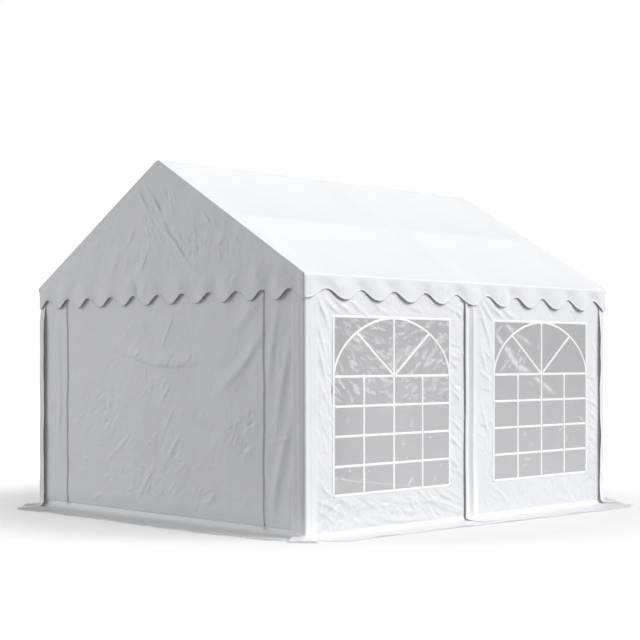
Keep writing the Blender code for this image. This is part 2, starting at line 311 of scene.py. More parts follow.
def tape_finish():
    """Smooth white tape, welded on the film."""
    material, nodes, place = new_finish("white_tape")
    broad = nodes.noise(place, 6.0, detail=3.0)
    base = nodes.blend(broad, (0.95, 0.95, 0.955), 0.99)
    grain = nodes.noise(place, 500.0, detail=1.0)
    nodes.surface(base, 0.30 + 0.10 * broad, {"Normal": nodes.bump(grain, WEAVE)})
    return material


def zip_finish():
    """Pale grey woven tape with darker threads."""
    material, nodes, place = new_finish("zip_tape")
    settings = {"wave_type": "BANDS", "bands_direction": "Z"}
    thread = nodes.add("ShaderNodeTexWave", settings, {"Vector": place, "Scale": 260.0})
    shade = thread * 0.5 + nodes.noise(place, 12.0, detail=3.0) * 0.5
    base = nodes.blend(shade, (0.54, 0.55, 0.56), (0.64, 0.65, 0.66))
    nodes.surface(base, 0.55 + 0.15 * thread, {"Normal": nodes.bump(thread, 0.0004)})
    return material


def steel_finish():
    """Galvanised tube: zinc grains that differ in shade and gloss, with dull blotches."""
    material, nodes, place = new_finish("galvanised_steel")
    grey = nodes.add("ShaderNodeRGBToBW", {}, {"Color": nodes.cells(place, 75.0, "Color")})
    blotch = nodes.levels(nodes.noise(place, 9.0, 4.0, 0.6), 0.40, 0.70)
    bright = nodes.blend(grey, (0.46, 0.47, 0.48), (0.66, 0.67, 0.68))
    base = nodes.blend(blotch * 0.5, bright, (0.50, 0.50, 0.49))
    others = {
        "Metallic": 0.95 - 0.25 * blotch,
        "Normal": nodes.bump(nodes.noise(place, 160.0), 0.0006),
    }
    nodes.surface(base, 0.30 + 0.14 * grey + 0.16 * blotch, others)
    return material


def floor_finish():
    """Pale floor that glows brighter further out, as painted light, and hardly under the tent, as
    painted shade there.
    """
    material, nodes, place = new_finish("pale_floor")
    far = nodes.add("ShaderNodeVectorMath", {"operation": "LENGTH"}, {"Vector": place}, "Value")
    outside = nodes.blend(nodes.levels(far * 0.1, 0.28, 0.55), 0.46, 0.90)
    # Painted shade: the glow is held low under the tent
    under_tent = nodes.within(place, "X", 0.168) * nodes.within(place, "Y", 0.194)
    others = {
        "Specular IOR Level": 0.1,
        "Emission Color": nodes.blend(under_tent, outside, 0.10),
        "Emission Strength": 1.0,
    }
    nodes.surface(nodes.blend(nodes.noise(place, 0.8, detail=3.0), 0.44, 0.46), 0.85, others)
    return material


PVC = pvc_finish("white_pvc", 1.0, (0.84, 0.845, 0.86))
# The long walls' sheet, with painted shade on its lower part
SIDE_PVC = pvc_finish("side_white_pvc", 1.0, (0.855, 0.86, 0.875), (0.69, 0.695, 0.71))
SMOOTH_PVC = pvc_finish("smooth_white_pvc", 0.2, (0.85, 0.855, 0.87))
# A whiter copy of the same sheet, as painted light on the roof that gets the most light; it also
# covers the long valances
LIT_ROOF_PVC = pvc_finish("roof_white_pvc", 0.2, (0.878, 0.883, 0.898), specular=0.2)
FILM = film_finish()
TAPE = tape_finish()
ZIP_TAPE = zip_finish()
STEEL = steel_finish()


# Meshes

HEM_WIDTH = 0.013
HEM_THICK = 0.0026


def new_piece(name, points, faces, material):
    mesh = bpy.data.meshes.new(name)
    mesh.from_pydata(points, [], faces)
    mesh.shade_smooth()
    mesh.materials.append(material)
    piece = bpy.data.objects.new(name, mesh)
    bpy.context.scene.collection.objects.link(piece)
    return piece


def grid_piece(name, places, material, turned=False, keep=None):
    """A sheet over a grid of places. keep says which of its cells there are."""
    rows, columns = places.shape[:2]
    index = np.arange(rows * columns).reshape(rows, columns)
    corners = [index[:-1, :-1], index[1:, :-1], index[1:, 1:], index[:-1, 1:]]
    if turned:
        corners.reverse()
    cells = np.stack(corners, axis=-1)
    cells = cells.reshape(-1, 4) if keep is None else cells[keep]
    used, cells = np.unique(cells, return_inverse=True)
    points = places.reshape(-1, 3)[used]
    return new_piece(name, points.tolist(), cells.reshape(-1, 4).tolist(), material)


def weld(piece):
    """Join points that lie on each other."""
    shape = bmesh.new()
    shape.from_mesh(piece.data)
    bmesh.ops.remove_doubles(shape, verts=shape.verts, dist=0.0001)
    shape.to_mesh(piece.data)
    shape.free()


def unit(vectors):
    return vectors / np.linalg.norm(vectors, axis=-1, keepdims=True)


class Trim:
    """Bands, teeth and other small solids that make one piece."""

    def __init__(self):
        self.points, self.faces, self.count = [], [], 0

    def add(self, points, faces):
        self.points.append(points)
        self.faces += (np.array(faces) + self.count).tolist()
        self.count += len(points)

    def band(self, path, inwards, width, thick, shift=0.0):
        """A flat band along a path, with thin rounded edges. inwards points across it."""
        path = np.array(path, float)
        way = unit(np.gradient(path, axis=0))
        facing = unit(np.cross(way, inwards))
        across = np.cross(facing, way)
        half, up = width / 2, thick / 2
        flat = half - min(width / 4, thick)
        section = [(-half, 0.0), (-flat, up), (flat, up), (half, 0.0), (flat, -up), (-flat, -up)]
        middle = path + across * shift
        rings = np.stack([middle + across * a + facing * b for a, b in section], axis=1)
        steps, sides = rings.shape[:2]
        last = (steps - 1) * sides
        faces = []
        for low in range(0, last, sides):
            high = low + sides
            for side in range(sides):
                after = (side + 1) % sides
                faces.append((low + side, high + side, high + after, low + after))
        caps = [(0, 1, 2, 3), (0, 3, 4, 5)]
        caps += [tuple(last + corner for corner in reversed(cap)) for cap in caps]
        self.add(rings.reshape(-1, 3), faces + caps)

    def hem(self, places, inside=slice(None)):
        """A folded hem along the last row of a sheet."""
        edge, inner = places[-1][inside], places[-2][inside]
        self.band(edge, inner - edge, HEM_WIDTH, HEM_THICK, shift=HEM_WIDTH / 2)

    def block(self, centre, axes, sizes):
        """A small box with its own axes."""
        signs = [(a, b, c) for a in (-1, 1) for b in (-1, 1) for c in (-1, 1)]
        points = [
            centre + sum(sign * size / 2 * axis for sign, size, axis in zip(corner, sizes, axes))
            for corner in signs
        ]
        faces = [(0, 1, 3, 2), (4, 6, 7, 5), (0, 4, 5, 1), (2, 3, 7, 6), (0, 2, 6, 4), (1, 5, 7, 3)]
        self.add(np.array(points), faces)

    def make(self, name, material, slot="white_pvc"):
        points = np.concatenate(self.points).tolist()
        return dress(new_piece(name, points, self.faces, material), slot)


def dress(piece, slot, *nodes):
    """A piece that rides on the tent's one body, and stands for these nodes."""
    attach(piece, "root")
    if nodes:
        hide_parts(*nodes)
    return piece


# Folds and creases


def to_line(s, h, start, stop):
    """How far along a line each point lies, how far off it, and whether on its left."""
    length = math.dist(start, stop)
    way_s, way_h = (stop[0] - start[0]) / length, (stop[1] - start[1]) / length
    off_s, off_h = s - start[0], h - start[1]
    along = np.clip(off_s * way_s + off_h * way_h, 0, length)
    distance = np.hypot(off_s - along * way_s, off_h - along * way_h)
    return along, distance, off_h * way_s > off_s * way_h


def folded(s, h, table):
    """How far soft ridges stand out. Each runs along a line and fades out at both its ends."""
    total = np.zeros(np.shape(s))
    for line, width, depth in table:
        left, right = width if isinstance(width, tuple) else (width, width)
        nearest = np.full(np.shape(s), np.inf)
        share = np.zeros(np.shape(s))
        on_left = np.zeros(np.shape(s), bool)
        whole = sum(math.dist(a, b) for a, b in zip(line, line[1:]))
        done = 0.0
        for start, stop in zip(line, line[1:]):
            along, distance, leftwards = to_line(s, h, start, stop)
            closer = distance < nearest
            nearest = np.where(closer, distance, nearest)
            share = np.where(closer, (done + along) / whole, share)
            on_left = np.where(closer, leftwards, on_left)
            done += math.dist(start, stop)
        fade = np.sin(np.pi * np.clip(share, 0.04, 0.96)) ** 0.6
        total += depth * fade * np.exp(-((nearest / np.where(on_left, left, right)) ** 2))
    return total


# An area of short creases: its middle and half sizes, how many, their lean in degrees and its
# spread, and their usual length, width and depth
Creases = namedtuple("Creases", "s h wide tall count lean spread length width depth")


def scatter(s, h, areas, seed):
    """Short bent creases over some areas of a sheet."""
    draw = np.random.default_rng(seed)
    total = np.zeros(np.shape(s))
    for area in areas:
        for _ in range(area.count):
            middle_s = area.s + area.wide * draw.uniform(-1, 1)
            middle_h = area.h + area.tall * draw.uniform(-1, 1)
            lean = math.radians(area.lean + area.spread * draw.uniform(-1, 1))
            length = area.length * draw.uniform(0.5, 1.5)
            width = area.width * draw.uniform(0.6, 1.5)
            depth = area.depth * draw.uniform(0.35, 1.0) * draw.choice((-1.0, 1.0))
            bend = draw.uniform(-1.5, 1.5)
            along = (s - middle_s) * math.cos(lean) + (h - middle_h) * math.sin(lean)
            across = (h - middle_h) * math.cos(lean) - (s - middle_s) * math.sin(lean)
            across = (across + bend * along**2) / width
            total += depth * np.exp(-np.abs(across) ** 1.5 - (along / length) ** 4)
    return total


def ripple(s, waves):
    """A sum of slow waves, each given by its length, height and start."""
    return sum(height * np.sin(2 * math.pi * s / length + start) for length, height, start in waves)


# The folds and creases of each sheet. A fold has the points of its line, its width or the widths
# of its flanks on the line's left and right, and how far it stands out
GABLE_FOLDS = [
    (
        [(-0.62, 1.47), (-0.30, 1.38), (-0.03, 1.33), (0.20, 1.32), (0.44, 1.33)],
        (0.080, 0.024),
        0.0135,
    ),
    ([(-1.15, 1.29), (-0.96, 1.18), (-0.73, 1.11)], (0.050, 0.020), 0.0070),
    ([(1.30, 1.60), (1.14, 1.40), (1.02, 1.28), (0.80, 1.13)], (0.030, 0.070), 0.0100),
    ([(1.32, 1.90), (1.10, 1.72), (0.96, 1.60)], (0.050, 0.070), 0.0080),
    ([(1.46, 1.80), (1.39, 1.45), (1.35, 1.15)], (0.034, 0.044), 0.0065),
    ([(1.60, 1.55), (1.50, 1.15), (1.43, 0.80)], (0.036, 0.046), 0.0080),
    ([(1.66, 1.20), (1.60, 0.85), (1.50, 0.60)], (0.034, 0.040), 0.0052),
    ([(1.54, 0.80), (1.45, 0.42), (1.39, 0.12)], (0.038, 0.044), 0.0078),
    ([(1.64, 0.62), (1.58, 0.16)], (0.032, 0.040), 0.0052),
    ([(1.60, 0.75), (1.45, 0.74), (1.36, 0.70)], 0.016, 0.0035),
    ([(0.28, 0.74), (0.09, 0.50)], (0.013, 0.024), 0.0045),
    ([(-0.05, 0.49), (-0.28, 0.18)], (0.014, 0.028), 0.0050),
    ([(0.20, 0.96), (0.06, 0.75)], (0.013, 0.022), 0.0042),
    ([(0.15, 1.15), (0.02, 1.00)], (0.013, 0.022), 0.0040),
    ([(0.18, 1.72), (0.03, 1.46)], (0.013, 0.026), 0.0036),
    ([(-0.44, 0.68), (-0.75, 0.47)], (0.013, 0.026), 0.0042),
    ([(-1.50, 1.70), (-1.46, 1.00), (-1.50, 0.50)], 0.030, 0.0045),
]
GABLE_TOP_FOLDS = [
    ([(-0.30, 2.86), (-0.20, 2.72), (-0.09, 2.58)], (0.014, 0.024), 0.0075),
    ([(-0.18, 2.85), (-0.06, 2.74), (0.02, 2.63)], (0.013, 0.022), 0.0065),
    ([(0.02, 2.52), (0.23, 2.34), (0.42, 2.14)], (0.015, 0.028), 0.0100),
    ([(0.20, 2.46), (0.34, 2.34)], (0.013, 0.022), 0.0060),
    ([(-0.31, 2.48), (-0.40, 2.36)], (0.012, 0.040), 0.0042),
    ([(-0.13, 2.29), (-0.25, 2.07)], (0.012, 0.045), 0.0046),
    ([(-0.55, 2.26), (-0.64, 2.10)], (0.012, 0.040), 0.0036),
    ([(0.59, 2.56), (0.69, 2.46)], (0.013, 0.022), 0.0065),
    ([(0.87, 2.37), (0.76, 2.26)], (0.012, 0.040), 0.0040),
]
SIDE_FOLDS = [
    ([(-1.84, 1.86), (-1.80, 1.76), (-1.76, 1.70), (-1.73, 1.62)], (0.022, 0.013), 0.0075),
    ([(-1.84, 1.66), (-1.82, 1.58), (-1.79, 1.49), (-1.76, 1.37)], (0.020, 0.013), 0.0065),
    ([(-1.84, 1.50), (-1.82, 1.42), (-1.80, 1.34), (-1.76, 1.22)], (0.018, 0.014), 0.0070),
    ([(-1.77, 1.84), (-1.69, 1.77), (-1.59, 1.72)], (0.024, 0.014), 0.0070),
    ([(-1.70, 1.86), (-1.58, 1.78), (-1.47, 1.73)], (0.026, 0.016), 0.0070),
    ([(-1.50, 1.84), (-1.42, 1.78), (-1.34, 1.73)], (0.022, 0.014), 0.0045),
    ([(-1.22, 1.82), (-1.15, 1.77), (-1.06, 1.73)], (0.022, 0.014), 0.0045),
    ([(-1.83, 1.21), (-1.79, 1.13), (-1.74, 1.04)], 0.015, 0.0050),
    ([(-1.81, 0.43), (-1.76, 0.36), (-1.67, 0.30)], 0.014, 0.0050),
    ([(-1.86, 0.09), (-1.73, 0.18), (-1.61, 0.25)], (0.014, 0.020), -0.0060),
    ([(-1.84, 0.04), (-1.70, 0.08), (-1.57, 0.15)], (0.014, 0.022), -0.0065),
    ([(-1.84, 0.28), (-1.70, 0.23), (-1.57, 0.16)], (0.022, 0.013), 0.0060),
    ([(-1.85, 0.22), (-1.74, 0.16), (-1.64, 0.09)], (0.020, 0.013), 0.0055),
    ([(-1.61, 0.28), (-1.52, 0.26), (-1.46, 0.19)], (0.020, 0.014), 0.0055),
    ([(-1.54, 0.17), (-1.37, 0.22)], (0.014, 0.020), -0.0050),
    ([(-1.58, 0.13), (-1.37, 0.17), (-1.14, 0.19)], (0.014, 0.022), -0.0050),
    ([(-1.56, 0.08), (-1.41, 0.13), (-1.25, 0.16)], (0.014, 0.022), -0.0050),
    ([(-1.40, 0.065), (-1.28, 0.075), (-1.16, 0.055), (-1.07, 0.075)], (0.030, 0.014), 0.0090),
    (
        [(-1.20, 0.11), (-1.03, 0.075), (-0.90, 0.06), (-0.75, 0.06), (-0.50, 0.05)],
        (0.034, 0.014),
        0.0110,
    ),
    ([(-1.11, 0.14), (-0.93, 0.15), (-0.69, 0.10)], (0.026, 0.014), 0.0050),
    ([(-1.02, 0.25), (-0.90, 0.21), (-0.76, 0.20), (-0.62, 0.22)], (0.026, 0.014), 0.0055),
    ([(-0.70, 0.30), (-0.56, 0.21), (-0.37, 0.13), (-0.12, 0.06)], (0.024, 0.014), 0.0065),
    ([(-0.62, 0.29), (-0.48, 0.20), (-0.28, 0.14)], (0.022, 0.014), 0.0050),
    ([(-0.43, 0.26), (-0.29, 0.20), (-0.10, 0.13)], (0.024, 0.014), 0.0085),
    ([(-0.33, 0.28), (-0.22, 0.23), (-0.10, 0.17)], (0.022, 0.014), 0.0065),
    ([(-0.35, 0.18), (-0.23, 0.12), (-0.09, 0.07)], (0.022, 0.014), 0.0060),
    ([(-0.34, 1.83), (-0.24, 1.78), (-0.13, 1.74)], (0.022, 0.013), 0.0050),
    ([(-0.28, 1.50), (-0.15, 1.47)], (0.018, 0.013), 0.0050),
    ([(-0.27, 1.41), (-0.13, 1.36)], (0.018, 0.013), 0.0055),
    ([(-0.28, 1.36), (-0.18, 1.29)], (0.018, 0.013), 0.0050),
    ([(-0.28, 1.19), (-0.21, 1.13), (-0.14, 1.07)], (0.018, 0.013), 0.0055),
    ([(-0.27, 1.09), (-0.14, 1.03)], (0.018, 0.013), 0.0050),
    ([(-0.27, 0.87), (-0.12, 0.76)], (0.018, 0.013), 0.0055),
    ([(-0.28, 0.72), (-0.12, 0.60)], (0.018, 0.013), 0.0055),
    ([(-0.27, 0.55), (-0.12, 0.42)], (0.018, 0.013), 0.0050),
    ([(0.09, 1.86), (0.17, 1.69), (0.24, 1.54), (0.29, 1.42)], (0.026, 0.018), 0.0085),
    ([(0.12, 1.88), (0.21, 1.78), (0.31, 1.69)], (0.024, 0.015), 0.0080),
    ([(0.18, 1.89), (0.31, 1.80), (0.46, 1.72)], (0.026, 0.015), 0.0085),
    ([(0.38, 1.85), (0.51, 1.76), (0.64, 1.72)], (0.026, 0.015), 0.0060),
    ([(0.12, 1.53), (0.16, 1.38), (0.22, 1.24)], (0.018, 0.014), 0.0050),
    ([(0.11, 1.26), (0.21, 1.22), (0.28, 1.17)], (0.018, 0.013), 0.0050),
    ([(0.14, 1.12), (0.28, 1.10)], (0.020, 0.013), 0.0040),
    ([(0.12, 1.00), (0.20, 0.80), (0.26, 0.70)], (0.020, 0.014), 0.0045),
    ([(1.74, 0.88), (1.83, 0.82), (1.93, 0.77)], (0.020, 0.013), 0.0065),
    ([(1.74, 0.98), (1.93, 0.90)], (0.020, 0.013), 0.0050),
    ([(1.74, 0.75), (1.93, 0.68)], (0.020, 0.013), 0.0050),
    ([(1.74, 0.64), (1.93, 0.58)], (0.020, 0.013), 0.0045),
    ([(0.26, 0.28), (0.42, 0.19), (0.52, 0.09)], (0.020, 0.014), 0.0050),
    ([(1.50, 0.12), (1.72, 0.22), (1.86, 0.28)], (0.014, 0.022), -0.0050),
    ([(0.95, 0.07), (1.25, 0.09), (1.60, 0.05)], (0.030, 0.014), 0.0050),
]
FILM_FOLDS = [
    ([(0.33, 1.60), (0.40, 1.53), (0.50, 1.45)], 0.020, 0.0026),
    ([(0.47, 1.48), (0.57, 1.38), (0.67, 1.30), (0.82, 1.24)], 0.026, 0.0040),
    ([(0.78, 1.27), (0.98, 1.17), (1.20, 1.06)], 0.020, 0.0030),
    ([(0.46, 1.69), (0.57, 1.62), (0.70, 1.56)], 0.022, 0.0026),
    ([(0.70, 1.57), (0.84, 1.50)], 0.014, 0.0018),
    ([(0.35, 1.60), (0.44, 1.67)], 0.008, 0.0022),
    ([(0.38, 1.24), (0.52, 1.36)], 0.008, 0.0022),
    ([(1.58, 0.84), (1.70, 0.76)], 0.010, 0.0022),
]
GABLE_CREASES = [
    Creases(-0.91, 0.89, 0.28, 0.18, 26, 40, 25, 0.045, 0.012, 0.0042),
    Creases(1.00, 0.77, 0.18, 0.18, 22, 50, 25, 0.045, 0.012, 0.0042),
    Creases(0.53, 0.25, 0.16, 0.08, 10, 45, 20, 0.050, 0.012, 0.0038),
    Creases(0.05, 0.85, 0.35, 0.70, 38, 55, 15, 0.060, 0.012, 0.0036),
    Creases(-0.70, 0.50, 0.60, 0.35, 28, 45, 25, 0.045, 0.012, 0.0032),
    Creases(0.00, 1.00, 1.70, 0.85, 110, 50, 45, 0.055, 0.014, 0.0024),
]
GABLE_TOP_CREASES = [
    Creases(0.05, 2.55, 0.20, 0.20, 24, -55, 18, 0.050, 0.012, 0.0048),
    Creases(0.55, 2.35, 0.45, 0.15, 30, -65, 30, 0.040, 0.012, 0.0036),
    Creases(-0.60, 2.25, 0.50, 0.15, 16, 55, 25, 0.045, 0.012, 0.0024),
    Creases(0.00, 2.25, 1.20, 0.30, 40, -60, 60, 0.045, 0.013, 0.0020),
]
SIDE_CREASES = [
    Creases(-1.75, 0.95, 0.09, 0.60, 34, -60, 25, 0.045, 0.012, 0.0044),
    Creases(-0.20, 0.90, 0.08, 0.60, 34, -30, 30, 0.045, 0.012, 0.0050),
    Creases(0.20, 0.90, 0.09, 0.60, 26, -55, 30, 0.045, 0.012, 0.0044),
    Creases(1.82, 0.90, 0.09, 0.60, 30, -25, 30, 0.045, 0.012, 0.0050),
    Creases(-1.72, 0.18, 0.16, 0.12, 22, 45, 20, 0.050, 0.012, 0.0050),
    Creases(-1.00, 0.17, 0.80, 0.10, 56, -25, 35, 0.055, 0.012, 0.0050),
    Creases(1.00, 0.17, 0.80, 0.10, 40, -25, 45, 0.055, 0.012, 0.0036),
    Creases(0.00, 1.80, 1.85, 0.09, 46, -40, 35, 0.050, 0.013, 0.0044),
    Creases(0.00, 1.00, 1.90, 0.90, 100, -45, 50, 0.050, 0.012, 0.0026),
]
FILM_CREASES = [
    Creases(-0.98, 0.62, 0.64, 0.28, 12, 35, 40, 0.030, 0.009, 0.0022),
    Creases(0.62, 1.34, 0.15, 0.12, 26, 55, 14, 0.018, 0.007, 0.0030),
    Creases(1.00, 0.95, 0.64, 0.60, 12, 25, 45, 0.036, 0.009, 0.0022),
]
ROOF_CREASES = [Creases(0.0, 1.0, 1.9, 0.95, 40, 70, 60, 0.16, 0.030, 0.0012)]
GABLE_SWELL = [(2.9, 0.0050, 0.6), (1.3, 0.0030, 2.0), (0.62, 0.0012, 4.1)]
SIDE_SWELL = [(1.9, 0.0020, 0.4), (0.9, 0.0012, 1.7), (0.45, 0.0006, 3.0)]


def creased(s, h, ridges, areas, seed):
    """How far a sheet stands out at its folds and its short creases."""
    s, h = np.broadcast_arrays(s, h)
    return folded(s, h, ridges) + scatter(s, h, areas, seed)


def swell(s, h, waves):
    """Slow waves of a wall, which fade out at its top and its foot."""
    return ripple(s, waves) * np.sin(np.pi * np.clip(h / WALL_TOP, 0, 1))


def slack(s, post, free=1.0):
    """How freely a wall moves: a quarter where it lies against a post, and 1 between the posts."""
    return mixed(0.25, 1.0, free * (1 - smooth(np.abs(s), post - 0.16, post - 0.04)))


# Walls and ground flaps

SHEET_MIDDLE = 0.0015
GABLE_CREASE = 0.052
SIDE_CREASE = 0.034
GROOVE_DEPTH = 0.009
FLAP_STEPS = 22
ROLL_STEPS = 7
FLAP_REST = 0.0035
ON_TOP = 0.0030
# How far a wall runs on past the middle of its post, and its flap past the post's sleeve
PAST_POST = 0.012
PAST_SLEEVE = 0.05
# How much further than the plain model a side flap reaches, along its wall
SIDE_FLAP_MORE = ((-1.90, -1.40, -0.60), (0.050, 0.045, 0.0))
# Where the two zips run, to the left and to the right of the middle
ZIP_LINES = {-1: -ZIP - 0.026, 1: ZIP - 0.022}


def gable_wall_out(s, h, seed):
    """How far a gable wall stands off its plane. Just above its flap it is drawn in."""
    total = swell(s + 0.15 * h, h, GABLE_SWELL) + creased(s, h, GABLE_FOLDS, GABLE_CREASES, seed)
    groove = np.exp(-(((h - GABLE_CREASE - 0.009) / 0.007) ** 2))
    total -= 0.011 * smooth(h, 0.20, GABLE_CREASE) ** 2 + GROOVE_DEPTH * groove
    return total * slack(s, POST_X)


def side_wall_out(s, h, seed):
    """How far a long wall stands off its plane."""
    total = swell(s, h, SIDE_SWELL) + creased(s, h, SIDE_FOLDS, SIDE_CREASES, seed)
    return total * slack(s, POST_Y, smooth(np.abs(s), 0.02, 0.10))


def flap_reach(face, node):
    """Points of a ground flap's free edge, as s and how far each lies from the wall."""
    corners = np.array([vertex.co for vertex in frame["nodes"][node].data.vertices], float)
    places = np.stack([corners @ face.along, corners @ face.out - face.plane], axis=1).tolist()
    edge = sorted({(round(s, 4), round(out, 4)) for s, out in places if out > 0.05})
    return np.array(edge).T


def flap_lift(s, out, seed):
    """How high a flap lies: flat near the wall, with low waves along its free edge."""
    start = seed * 1.7
    waves = ripple(s, [(0.83, 1.0, start), (0.47, 0.8, start + 1), (0.21, 0.5, start + 2)])
    return 0.0035 * np.clip(waves + 0.9, 0, None) * smooth(out, 0.05, 0.33)


def edge_wander(s, seed):
    """How far a flap's free edge strays from a straight cut."""
    start = seed * 2.3
    return ripple(s, [(0.61, 0.006, start), (0.33, 0.004, start + 2), (0.17, 0.002, start + 4)])


def wall_rows(top, marks, bottom, cell):
    """Heights from the top down, that fall on every mark."""
    stops = [top, *marks, bottom]
    rows = [np.array([top])]
    for high, low in zip(stops, stops[1:]):
        steps = max(1, round((high - low) / cell))
        rows.append(np.linspace(high, low, steps + 1)[1:])
    return np.concatenate(rows)


def wall_grid(face, wall_out, seed, reach, crease, edges, columns, heights, raised=0.0):
    """Places of a panel that hangs from the eaves, turns out at its foot and lies on the ground.

    columns are shares from the low to the high one of its edges.
    """
    low, high = edges
    h = heights[:, None] + 0 * columns
    s = mixed(low(h), high(h), columns)
    out = wall_out(s, h, seed) - SHEET_MIDDLE
    foot_s, foot_out = s[-1:], out[-1:]
    rest = FLAP_REST + raised
    radius = crease - rest
    turn = np.linspace(0, np.pi / 2, ROLL_STEPS + 1)[1:, None]
    roll_out = foot_out + radius * (1 - np.cos(turn))
    share = np.linspace(0, 1, FLAP_STEPS + 1)[1:, None]
    flap_s = mixed(low(0 * columns, share), high(0 * columns, share), columns)
    edge = np.interp(flap_s, *reach) + edge_wander(flap_s, seed)
    flap_out = mixed(foot_out + radius, edge, share)
    return np.concatenate([
        face.place(s, h, out),
        face.place(foot_s, crease - radius * np.sin(turn), roll_out),
        face.place(flap_s, rest + flap_lift(flap_s, flap_out, seed), flap_out),
    ])


def steady(value):
    """An edge that runs straight down the wall and out over the ground."""
    return lambda h, share=0.0: value + 0 * h + 0 * share


def zip_edge(way, spread=0.0):
    """The wandering line of a zip, and how far the flap spreads over its neighbour."""

    def edge(h, share=0.0):
        wander = ripple(h, [(0.95, 0.0045, way), (0.41, 0.0025, 2.0)]) * smooth(h, 0.02, 0.3)
        return ZIP_LINES[way] + wander - way * spread * share

    return edge


def leg_edges(end, side):
    """Where a corner sleeve stops on the gable wall, as x, and on the long wall, as y."""
    low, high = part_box(f"corner_sleeve_{end}_{side}")
    return (low.x if SIDES[side] > 0 else high.x), (low.y if ENDS[end] > 0 else high.y)


def tent_side(face, way):
    """The tent's side to the left (-1) or right (1) of a gable that is seen from outside."""
    return "right" if way * face.along[0] > 0 else "left"


def make_side_walls(side):
    """A long side's two panels, each with a hole for its window and a flap on the ground."""
    face = SIDE_WALLS[side]
    reach = flap_reach(face, f"ground_flap_{side}")
    reach[1] += np.interp(reach[0], *SIDE_FLAP_MORE)
    rows = wall_rows(WALL_TOP, (HEAD, SILL), SIDE_CREASE, CELLS[side])
    middle_h = (rows[1:] + rows[:-1]) / 2
    off_window = np.abs(middle_h - (SILL + HEAD) / 2) >= (HEAD - SILL) / 2
    hems = Trim()
    panels = []
    for end, way in ENDS.items():
        low, high = sorted((way * (POST_Y + PAST_POST), way * 0.0005))
        centre = way * WINDOW_CENTRE + WINDOW_SHIFT
        marks = (WINDOW_HALF - centre, -WINDOW_HALF - centre)
        columns = -wall_rows(-low, marks, -high, CELLS[side])
        middle_s = (columns[1:] + columns[:-1]) / 2
        edges, shares = (steady(low), steady(high)), (columns - low) / (high - low)
        wall = (face, side_wall_out, SIDE_SEEDS[side], reach, SIDE_CREASE)
        places = wall_grid(*wall, edges, shares, rows)
        # The flap stops at the corner sleeve, under its foot
        stop = abs(leg_edges(end, side)[1]) + PAST_SLEEVE
        keep = np.empty((len(places) - 1, len(middle_s)), bool)
        keep[: len(middle_h)] = off_window[:, None] | (np.abs(middle_s - centre) >= WINDOW_HALF)
        keep[len(middle_h) :] = np.abs(middle_s) <= stop
        panel = grid_piece(f"wall_panel_{end}_{side}", places, SIDE_PVC, face.mirrored, keep)
        dress(panel, "white_pvc", f"side_wall_{end}_{side}", f"ground_flap_{side}")
        hems.hem(places, np.abs(columns) <= stop)
        panels.append((panel, high - low))
    trims = [hems.make(f"flap_hem_{side}", SIDE_PVC)]
    for panel, width in panels:
        width * (WALL_TOP + 0.3) - 4 * WINDOW_HALF**2
        trims = []


def make_gable_wall(end):
    """The door panel between its zips, and the strip on each side of it."""
    face, seed, cell = GABLE_WALLS[end], GABLE_SEEDS[end], CELLS[end]
    reach = flap_reach(face, f"ground_flap_{end}")
    rows = wall_rows(WALL_TOP, (), GABLE_CREASE + 0.03, cell)
    rows = np.concatenate([rows, np.linspace(GABLE_CREASE + 0.03, GABLE_CREASE, 7)[1:]])
    hems = Trim()

    def add_panel(name, edges, width, raised, stop, *nodes):
        """A panel whose flap is cut off where it lies further from the middle than the stop."""
        columns = np.linspace(0, 1, round(width / cell) + 1)
        wall = (face, gable_wall_out, seed, reach, GABLE_CREASE)
        places = wall_grid(*wall, edges, columns, rows, raised)
        inside = np.abs(places[-1] @ face.along) < stop
        keep = np.ones((len(places) - 1, len(columns) - 1), bool)
        keep[len(rows) - 1 :] = inside[1:] & inside[:-1]
        hems.hem(places, inside)
        return dress(grid_piece(name, places, PVC, face.mirrored, keep), "white_pvc", *nodes)

    nodes = (f"door_{end}", f"ground_flap_{end}")
    zips = (zip_edge(-1), zip_edge(1))
    door = add_panel(f"door_panel_{end}", zips, 2 * ZIP, 0.0, math.inf, *nodes)
    strips = []
    for way in (-1, 1):
        edges = (zip_edge(way, 0.05), steady(way * (POST_X + PAST_POST)))[::way]
        name = f"{end}_{tent_side(face, way)}"
        stop = abs(leg_edges(end, tent_side(face, way))[0]) + PAST_SLEEVE
        node = f"gable_strip_{name}"
        strips.append(add_panel(f"gable_panel_{name}", edges, POST_X - ZIP, ON_TOP, stop, node))
    trims = [hems.make(f"flap_hem_{end}", PVC)]
    for way in (-1, 1):
        trims += make_zip(end, face, way, seed)
    for strip in strips:
        POST_X - ZIP + PAST_POST


# Zips

ZIP_TOP = 1.975
ZIP_FOOT = 0.075
LIP_OFF = 0.0100
LIP_SIZE = (0.005, 0.0012)
TAPE_SIZE = (0.016, 0.0010)
TOOTH_PITCH = 0.0075
TOOTH_OFF = 0.0011
TOOTH_SIZE = (0.0036, 0.0030, 0.0018)
# How far the slider and its pull lie above the zip's foot and off the wall, and their sizes
SLIDER = (0.018, 0.0050, (0.011, 0.016, 0.0060))
PULL = (-0.014, 0.0062, (0.007, 0.044, 0.0020))


